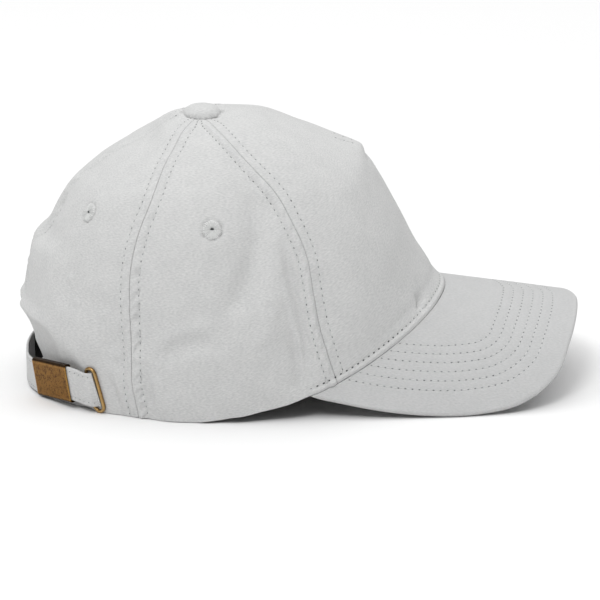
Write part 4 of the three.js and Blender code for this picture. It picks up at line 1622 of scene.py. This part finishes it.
@dataclass
class Eyelet:
    """A ventilation hole worked round with satin stitch."""

    shape: CrownShape
    angle: float
    share: float
    diameter: float = 9.0
    hole: float = 1.3
    threads: int = 26

    def build(self, name: str, finishes: Finishes) -> None:
        """Builds and dresses the eyelet.

        Args:
            name: The node that it replaces.
            finishes: The finishes.
        """
        around = np.radians(np.linspace(0, 360, self.threads * 5 + 1))
        r, inner = self.diameter / 2, self.hole / 2
        # From the hole outward: distance from the middle and height over the cloth.
        profile = np.array([
            (inner, -0.7), (inner, -0.25), (inner * 1.3, 0.08), (1.4, 0.30), (2.1, 0.46),
            (3.0, 0.52), (3.7, 0.56), (4.15, 0.48), (r * 0.975, 0.28), (r, 0.05), (r, -0.7)])
        thread = np.cos(self.threads * around)[:, None]
        ring = np.stack([5 * np.cos(around), 5 * np.sin(around), self.angle + 0 * around], -1)
        frayed = waver(ring, 1.5, 2.9)[:, None]
        body = np.clip((profile[:, 0] - inner) / (r - inner), 0, 1)[None, :]
        above = (profile[:, 1] > 0)[None, :]
        lift = profile[:, 1][None, :] + (0.20 * thread + 0.50 * frayed) * above * (0.4 + body)
        wide = profile[:, 0][None, :] * (1 + (0.012 * thread + 0.10 * frayed) * body ** 4)
        x, y = wide * np.cos(around)[:, None], wide * np.sin(around)[:, None]
        angle, share = self.shape.local(self.angle, self.share, x, y)
        grid = (self.shape.dressed(angle, share)
                + self.shape.face_normal(angle, share) * lift[..., None])
        grid[-1] = grid[0]
        grid = np.concatenate([grid, grid[:, :1]], axis=1)
        dress(wrapped(f"{name}_satin_stitch", grid), finishes.thread, "pale_cloth", name)
        # A dark disc over the middle of the eyelet: painted shade for its opening, since the
        # cloth behind is not cut.
        bm = bmesh.new()
        middle = np.array([self.angle]), np.array([self.share])
        matrix = Stitching.frame(self.shape.dressed(*middle)[0],
                                 self.shape.face_normal(*middle)[0],
                                 np.array([0.0, 0.0, 1.0]), 0.02)
        Stitching.pip(bm, matrix, (0.85, 0.85, 0.1), 16, rings=6)
        Stitching.finish(f"{name}_opening_shade", bm, finishes.deep_hole_shade)


# ---------------------------------------------------------------- sweatband


@dataclass
class Sweatband:
    """The black band inside the crown's edge, open where the arch is."""

    shape: CrownShape
    ends: float = 148.0
    height: float = 30.0
    cloth: float = 1.2

    def build(self, finishes: Finishes) -> None:
        """Builds and dresses the band."""
        shape = self.shape
        angle = np.linspace(-self.ends, self.ends, 420)
        edge = shape.edge_height(angle)
        low = shape.step_at(angle, edge + 4 * shape.gap)
        high = shape.step_at(angle, edge + self.height, 0.6)
        up = eased(self.height, 0.15, 0.9, 0.3)
        share = low[:, None] + (high - low)[:, None] * up[None, :]
        turned = np.broadcast_to(angle[:, None], share.shape)
        face = shape.face(turned, share)
        normal = shape.face_normal(turned, share)
        # Inside the thicker front cloth, then inside the plain one.
        clear = 2.0 - 0.5 * smoothstep(np.abs(turned), 62, 74) + 1.4 * shape.gap
        clear = clear - np.minimum(shape.relief(turned, share, face), 0)
        rise = up * self.height
        edge_round = 0.35 * (bell(rise, 0, 0.5) + bell(rise, self.height, 0.5))
        outer = face - normal * (clear + edge_round[None, :])[..., None]
        soft = 0.15 * waver(face, 9, 2.2)
        inner = face - normal * (clear + self.cloth - edge_round[None, :] + soft)[..., None]
        uv = grid_uv(arc_lengths(face[:, 0]), rise)
        piece = cloth_shell("sweatband_cloth", outer, inner, uv)
        dress(piece, finishes.band, "black_cloth", "sweatband")


# ---------------------------------------------------------------- strap and its metal


@dataclass(frozen=True)
class Station:
    """Where the strap lies at one angle about the button.

    Attributes:
        angle: The angle, in degrees.
        lift: How far its inner face stands off the cloth.
        low: Height of its lower edge.
        lean: How much it leans out with height.
    """

    angle: float
    lift: float
    low: float
    lean: float


@dataclass
class StrapAndMetal:
    """The cloth strap, the slide that clamps it and the ring that takes its end.

    Attributes:
        shape: The crown's shape.
        width: Width of the strap. All lengths are in mm.
        cloth: Its thickness.
        stitch_inset: Distance of its rows of stitches from its edges.
        margin: How far its black tape, which is also painted shade, ends under its upper edge.
        slide_length: Length of the slide.
        slide_wall: Thickness of its plate.
        slide_bend: Radius of its long edges.
        slide_edge: Rounding of its sheared edges.
        wire: Thickness of the ring's wire.
        ring_height: Length of the ring between the middles of its wire's ends.
        ring_width: Its width, measured alike.
        slide_from: Angle about the button at which the slide starts.
        slide_to: Angle at which it ends.
        ring_angle: Angle of the ring's middle.
        ring_middle: Height of its middle.
        ring_tilt: How far it leans, in degrees.
        stations: Where the strap lies, from its free end to the wearer's left.
    """

    shape: CrownShape
    width: float = 16.6
    cloth: float = 1.5
    stitch_inset: float = 2.0
    margin: float = 2.2
    slide_length: float = 27.0
    slide_wall: float = 0.65
    slide_bend: float = 1.15
    slide_edge: float = 0.22
    wire: float = 1.7
    ring_height: float = 21.0
    ring_width: float = 5.4
    slide_from: float = -138.5
    slide_to: float = -157.5
    ring_angle: float = -129.9
    ring_middle: float = 11.4
    ring_tilt: float = 13.0
    stations: tuple[Station, ...] = tuple(Station(*row) for row in (
        (-129.0, 0.8, 3.3, 0.12), (-129.9, 1.0, 3.3, 0.12), (-130.9, 2.5, 3.3, 0.12),
        (-132.6, 2.7, 3.4, 0.12), (-135.5, 2.4, 3.8, 0.12), (-138.5, 2.7, 4.2, 0.12),
        (-157.5, 3.2, 1.6, 0.12), (-161.0, 3.0, 1.2, 0.11), (-165.0, 2.8, 0.9, 0.08),
        (-170.0, 2.3, 0.6, 0.03), (-175.0, 1.8, 0.3, 0.00), (-180.0, 1.5, 0.3, 0.00),
        (-185.0, 1.4, 0.3, 0.00), (-190.0, 1.3, 0.4, 0.02), (-197.0, 1.1, 0.7, 0.05),
        (-204.0, 0.9, 1.2, 0.08), (-211.0, 0.7, 1.8, 0.10), (-217.0, 0.5, 2.2, 0.12),
        (-222.0, 0.5, 2.4, 0.12)))
    feet: Array = field(init=False, repr=False)
    outs: Array = field(init=False, repr=False)

    def __post_init__(self) -> None:
        """Finds the strap's foot line and its outward directions."""
        self.feet = self.foot_line()
        padded = np.concatenate([self.feet[:1], self.feet, self.feet[-1:]])
        run = unit(padded[2:] - padded[:-2])
        self.outs = np.stack([-run[:, 1], run[:, 0]], axis=-1)
        entry, leave = self.number(self.slide_from), self.number(self.slide_to)
        straight = unit(self.feet[leave] - self.feet[entry])
        self.outs[entry] = self.outs[leave] = (-straight[1], straight[0])

    def number(self, angle: float) -> int:
        """Number of the station at an angle."""
        return next(i for i, s in enumerate(self.stations) if s.angle == angle)

    def foot_line(self) -> Array:
        """Plan points of the strap's inner face at its lower edge, one per station."""
        shape = self.shape
        angle, lift, low, lean = (np.array([getattr(s, name) for s in self.stations])
                                  for name in ("angle", "lift", "low", "lean"))
        rise = np.broadcast_to(self.width * np.arange(9) / 8, (len(angle), 9))
        turned = np.repeat(angle[:, None], 9, axis=1)
        z = low[:, None] + rise
        share = shape.step_at(turned, z)
        share = np.where(z <= shape.face(turned, np.zeros(z.shape))[..., 2], 0.0, share)
        r = shape.plan_radius(shape.face(turned, share)) - lean[:, None] * rise
        out = r.max(axis=1) + shape.gap / 2 + lift
        c, s = cos_sin(angle)
        return np.stack([out * c - shape.setback, out * s], axis=-1)

    def point(self, i: int, up: float, outward: float) -> Array:
        """A point of the strap at a station."""
        station = self.stations[i]
        z = self.width * up
        out = outward + station.lean * z
        end = float(smoothstep(station.angle, self.slide_from + 2.5, self.ring_angle))
        shear = end * math.tan(math.radians(self.ring_tilt)) * (z - self.width / 2)
        foot, o = self.feet[i], self.outs[i]
        return np.array([foot[0] + o[0] * out + o[1] * shear,
                         foot[1] + o[1] * out - o[0] * shear, station.low + z])

    def path(self) -> tuple[Array, Array, Array]:
        """Smooth lines of the strap: its lower inner edge, its upper one and outward."""
        low, high, middle, outer = (
            np.array([self.point(i, up, outward) for i in range(len(self.stations))])
            for up, outward in ((0, 0), (1, 0), (0.5, 0), (0.5, 1)))
        run = arc_lengths((low + high) / 2)
        at = np.linspace(0, run[-1], int(run[-1] / 0.7))
        held = (self.number(self.slide_from), self.number(self.slide_to))
        low, high, out = (eased_line(run, values, at, held)
                          for values in (low, high, outer - middle))
        return low, high, unit(out)

    def build(self, finishes: Finishes) -> None:
        """Builds and dresses the strap, the slide and the ring."""
        self.build_strap(finishes)
        self.build_black_tape_and_shade(finishes)
        self.build_slide(finishes)
        self.build_ring(finishes)

    def build_strap(self, finishes: Finishes) -> None:
        """Builds the folded strap with its two rows of edge stitches."""
        low, high, out = self.path()
        turn = np.radians(np.linspace(0, 360, 73))
        half = self.cloth / 2
        # A flat oblong with rounded edges, a little fuller along its folded edges.
        across = np.sign(np.cos(turn)) * np.abs(np.cos(turn)) ** 0.22
        through = np.sign(np.sin(turn)) * np.abs(np.sin(turn)) ** 0.55
        up = 0.5 + 0.5 * across
        distance = np.minimum(up, 1 - up) * self.width
        sunk = 0.16 * bell(distance, self.stitch_inset, 0.5)
        outward = half + half * through - np.sign(through) * sunk
        grid = (low[:, None] + (high - low)[:, None] * up[None, :, None]
                + out[:, None] * outward[None, :, None])
        grid[:, -1] = grid[:, 0]
        piece = wrapped("strap_cloth", grid, grid_uv(arc_lengths(low), up * self.width))
        dress(piece, finishes.twill, "pale_cloth", "strap")
        rows = Stitching(pitch=2.8, hole=0.26, thread=0.2)
        start, inset = 4, self.stitch_inset / self.width
        for share in (inset, 1 - inset):
            places = low + (high - low) * share + out * (self.cloth - 0.12)
            rows.rows.append(StitchRow(places[start:], out[start:]))
        rows.build("strap", finishes)

    def build_black_tape_and_shade(self, finishes: Finishes) -> None:
        """Builds a black tape on the far part of the strap's inner face, which also paints the
        deep shade inside the arch.
        """
        low, high, out = self.path()
        run = arc_lengths(low)
        # Black only over the stretch that lies in deep shade behind the arch: painted shade.
        kept = (run > run[-1] * 0.68) & (run < run[-1] * 0.90)
        low, high, out, run = low[kept], high[kept], out[kept], run[kept]
        up = np.linspace(0.05, 1 - self.margin / self.width, 24)
        face = low[:, None] + (high - low)[:, None] * up[None, :, None]
        inner = face - out[:, None] * 0.35
        outer = face + out[:, None] * 0.10
        uv = grid_uv(run, up * self.width)
        piece = cloth_shell("strap_black_tape_painted_shade", outer[::-1], inner[::-1], uv[::-1])
        dress(piece, finishes.band, "black_cloth")

    def build_slide(self, finishes: Finishes) -> None:
        """Builds the flat sleeve from pressed plate, bent round at its long edges."""
        entry, leave = self.number(self.slide_from), self.number(self.slide_to)
        start = self.point(entry, 0.5, self.cloth / 2)
        end = self.point(leave, 0.5, self.cloth / 2)
        run = unit(end - start)
        rise = self.point(entry, 1, 0) - self.point(entry, 0, 0)
        out = unit(np.cross(rise, run))
        up = unit(np.cross(run, out))
        middle = (start + end) / 2
        wall = 1.2 * self.shape.gap + self.slide_wall
        w, d = self.width / 2 + wall, self.cloth / 2 + wall
        bm = self.slide_sleeve(w, d)
        piece = to_mesh("strap_slide_plate", bm)
        mesh = piece.data
        flat = read_places(mesh)
        along_strap, across = np.abs(flat[:, 0]), np.abs(flat[:, 1])
        # Gold at the sheared ends, where the plate rubs; a painted highlight line in gold just
        # inside each bend; a painted dark reflection over the bends themselves.
        ends = bell(along_strap, self.slide_length / 2, 0.5)
        folded = smoothstep(across, w - 1.25, w - 0.75)
        ridge = 0.35 * bell(across, w - 1.6, 0.3)
        write_wear_and_painted_light(mesh, np.clip(ends * (1 - folded) + ridge - folded, -1, 1))
        write_places(mesh, middle + flat[:, :1] * run + flat[:, 1:2] * up + flat[:, 2:] * out)
        mend(mesh, weld=False)
        dress(piece, finishes.slide_brass, "aged_brass", "strap_slide")

    def slide_sleeve(self, w: float, d: float) -> BMesh:
        """The slide lying flat, with rows of vertices where its worn gold and painted light
        change.

        Args:
            w: Half its width.
            d: Half its depth.

        Returns:
            The sleeve, in mm, its length along X.
        """
        bm = bmesh.new()
        bmesh.ops.create_cube(bm, size=1)
        bmesh.ops.scale(bm, vec=(self.slide_length, 2 * w, 2 * d), verts=bm.verts[:])
        ends = [f for f in bm.faces if abs(f.normal.x) > 0.5]
        long_edges = [e for e in bm.edges
                      if abs((e.verts[0].co - e.verts[1].co).x) > 1]
        bmesh.ops.delete(bm, geom=ends, context="FACES_ONLY")
        rounding = {"profile": 0.5, "affect": "EDGES", "material": -1}
        bmesh.ops.bevel(bm, geom=long_edges, offset=self.slide_bend, segments=6, **rounding)
        bmesh.ops.recalc_face_normals(bm, faces=bm.faces[:])
        bmesh.ops.solidify(bm, geom=bm.faces[:], thickness=self.slide_wall)
        bmesh.ops.recalc_face_normals(bm, faces=bm.faces[:])
        rims = [e for e in bm.edges if e.calc_face_angle(0) > 1.2]
        bmesh.ops.bevel(bm, geom=rims, offset=self.slide_edge, segments=3, **rounding)
        cuts = [(0, self.slide_length / 2 - k) for k in (0.45, 0.9, 2.0)]
        cuts += [(1, w - k) for k in (1.3, 1.6, 1.9, 2.4)]
        for axis, at in cuts:
            for side in (-1, 1):
                bmesh.ops.bisect_plane(
                    bm, geom=bm.verts[:] + bm.edges[:] + bm.faces[:], dist=1e-4,
                    plane_co=[side * at * (k == axis) for k in range(3)],
                    plane_no=[float(k == axis) for k in range(3)])
        return bm

    def build_ring(self, finishes: Finishes) -> None:
        """Builds the oblong loop of wire that lies on the cloth."""
        shape = self.shape
        half = self.ring_width / 2
        straight = self.ring_height / 2 - half
        lift = self.wire / 2 + 1.1 * shape.gap
        flat = []
        for end in (1, -1):
            flat += [(end * math.cos(t) * half, end * (straight + math.sin(t) * half))
                     for t in np.linspace(0, math.pi, 24)]
            flat += [(-end * half, end * straight * s) for s in np.linspace(1, -1, 32)[1:-1]]
        flat.append(flat[0])
        xy = np.array(flat)
        tilt = math.radians(self.ring_tilt)
        across = xy[:, 0] * math.cos(tilt) - xy[:, 1] * math.sin(tilt)
        z = self.ring_middle + xy[:, 0] * math.sin(tilt) + xy[:, 1] * math.cos(tilt)
        r = float(shape.plan_radius(shape.smooth(np.array([self.ring_angle]),
                                                 np.array([0.1])))[0])
        angle = self.ring_angle + np.degrees(across / r)
        share = shape.step_at(angle, np.maximum(z, 0.5))
        normal = shape.face_normal(angle, share)
        line = shape.face(angle, share) + normal * lift
        run = unit(np.roll(line[:-1], -1, axis=0) - np.roll(line[:-1], 1, axis=0))
        run = np.concatenate([run, run[:1]])
        side = unit(np.cross(run, normal))
        turn = np.radians(np.linspace(0, 360, 17))
        grid = (line[:, None] + self.wire / 2 * (
            side[:, None] * np.cos(turn)[None, :, None]
            + normal[:, None] * np.sin(turn)[None, :, None]))
        grid[-1], grid[:, -1] = grid[0], grid[:, 0]
        # Gold on the half of the wire that faces out, brown on the half that faces the cloth:
        # worn metal together with painted light.
        wear_and_painted_light = np.broadcast_to(np.clip(np.sin(turn), 0, 1)[None, :], grid.shape[:2])
        piece = wrapped("strap_ring_wire", grid, None, wear_and_painted_light)
        dress(piece, finishes.ring_brass, "aged_brass", "strap_ring")


def eased_line(run: Array, values: Array, at: Array, held: tuple[int, int]) -> Array:
    """Smooth line through unevenly spaced points.

    Args:
        run: Distance of each point along the line.
        values: The points.
        at: Distances to read the line at.
        held: Two neighbouring points between which the line stays straight.

    Returns:
        The places there.
    """
    slope = np.empty_like(values)
    step = np.diff(run)[:, None]
    rate = np.diff(values, axis=0) / step
    slope[1:-1] = (rate[:-1] * step[1:] + rate[1:] * step[:-1]) / (step[1:] + step[:-1])
    slope[0], slope[-1] = rate[0], rate[-1]
    slope[held[0]] = slope[held[1]] = rate[held[0]]
    i = np.clip(np.searchsorted(run, at, side="right") - 1, 0, len(run) - 2)
    span = step[i]
    t = ((at - run[i]) / span[:, 0])[:, None]
    return hermite(values[i], values[i + 1], slope[i] * span, slope[i + 1] * span, t)


# ---------------------------------------------------------------- studio


@dataclass(frozen=True)
class Lamp:
    """One broad square lamp. Its places are in metres.

    Attributes:
        name: The lamp's name.
        place: Where it hangs.
        target: Where it faces.
        size: Length of its side.
        power: Its power, in watts.
    """

    name: str
    place: tuple[float, float, float]
    target: tuple[float, float, float]
    size: float
    power: float

    def build(self) -> None:
        """Adds the lamp to the scene."""
        data = bpy.data.lights.new(self.name, "AREA")
        data.shape, data.size, data.energy = "SQUARE", self.size, self.power
        lamp = bpy.data.objects.new(self.name, data)
        place = Vector(self.place)
        aim = (Vector(self.target) - place).to_track_quat("-Z", "Y")
        lamp.matrix_world = Matrix.Translation(place) @ aim.to_matrix().to_4x4()
        bpy.context.scene.collection.objects.link(lamp)


@dataclass
class Studio:
    """Pale floor, soft light and the photograph's camera.

    Attributes:
        view: Direction from the cap to the camera, 3 degrees towards the back from the
            side and 15.5 degrees up.
        across: Direction to the picture's right.
        distance: Distance from the crown's origin along the view, in mm.
        right: Camera's shift to the right of the origin, in mm.
        up: Its shift upward, in mm.
        lens: Focal length, in mm.
        sensor: Width of the frame, in mm.
        surround: Strength of the white surround.
        lamps: A broad lamp overhead and a weaker one in front.
    """

    view: tuple[float, float, float] = (-0.0504, -0.9623, 0.2672)
    across: tuple[float, float, float] = (0.9986, -0.0523, 0.0)
    distance: float = 1500.0
    right: float = 30.73
    up: float = 35.12
    lens: float = 184.5
    sensor: float = 36.0
    surround: float = 0.33
    lamps: tuple[Lamp, ...] = (
        Lamp("ceiling_panel", (0.0, 1.2, 3.0), (0.0, 1.2, 0.0), 7.0, 170.0),
        Lamp("softbox_left", (-0.6, -1.45, 1.8), (0.0, 0.0, 0.06), 0.7, 17.0),
    )

    def build(self) -> None:
        """Builds the floor, the lights and the camera."""
        self.build_camera()
        self.build_floor()
        self.build_lights()

    def build_camera(self) -> None:
        """Places the camera as it stood for the photograph."""
        back, right = np.array(self.view), np.array(self.across)
        up = np.cross(back, right)
        place = in_row(self.distance * back + self.right * right + self.up * up)
        camera = bpy.data.objects.new("camera", bpy.data.cameras.new("camera"))
        axes = Matrix([right, up, back]).transposed().to_4x4()
        camera.matrix_world = Matrix.Translation(Vector(place)) @ axes
        camera.data.lens = self.lens
        camera.data.sensor_width = self.sensor
        camera.data.clip_start, camera.data.clip_end = 0.05, 50.0
        bpy.context.scene.collection.objects.link(camera)
        bpy.context.scene.camera = camera

    def build_floor(self) -> None:
        """Builds the wide pale floor."""
        bm = bmesh.new()
        bmesh.ops.create_grid(bm, x_segments=4, y_segments=4, size=6.0)
        floor = to_mesh("studio_floor", bm)
        floor.data.materials.append(StudioFloor("white_studio_paint", "#f4f4f4").build())

    def build_lights(self) -> None:
        """Sets the white surround and the lamps."""
        world = bpy.data.worlds.new("studio")
        world.use_nodes = True
        background = world.node_tree.nodes["Background"]
        background.inputs[0].default_value = (1.0, 1.0, 1.0, 1.0)
        background.inputs[1].default_value = self.surround
        bpy.context.scene.world = world
        for lamp in self.lamps:
            lamp.build()
        bpy.context.scene.view_settings.view_transform = "Standard"


def main() -> None:
    """Builds the cap's pieces in order over the frame."""
    logging.basicConfig(level=logging.INFO, format="%(name)s %(message)s")
    shape = CrownShape()
    finishes = Finishes()
    Studio().build()
    Crown(shape).build(finishes)
    Peak(shape).build(finishes)
    Button(shape).build(finishes)
    for name, side in (("right", -1), ("left", 1)):
        for panel, (angle, share) in zip(("side", "back"), shape.eyelets):
            Eyelet(shape, side * angle, share).build(f"eyelet_{panel}_{name}", finishes)
    Sweatband(shape).build(finishes)
    StrapAndMetal(shape).build(finishes)


if __name__ == "__main__":
    main()
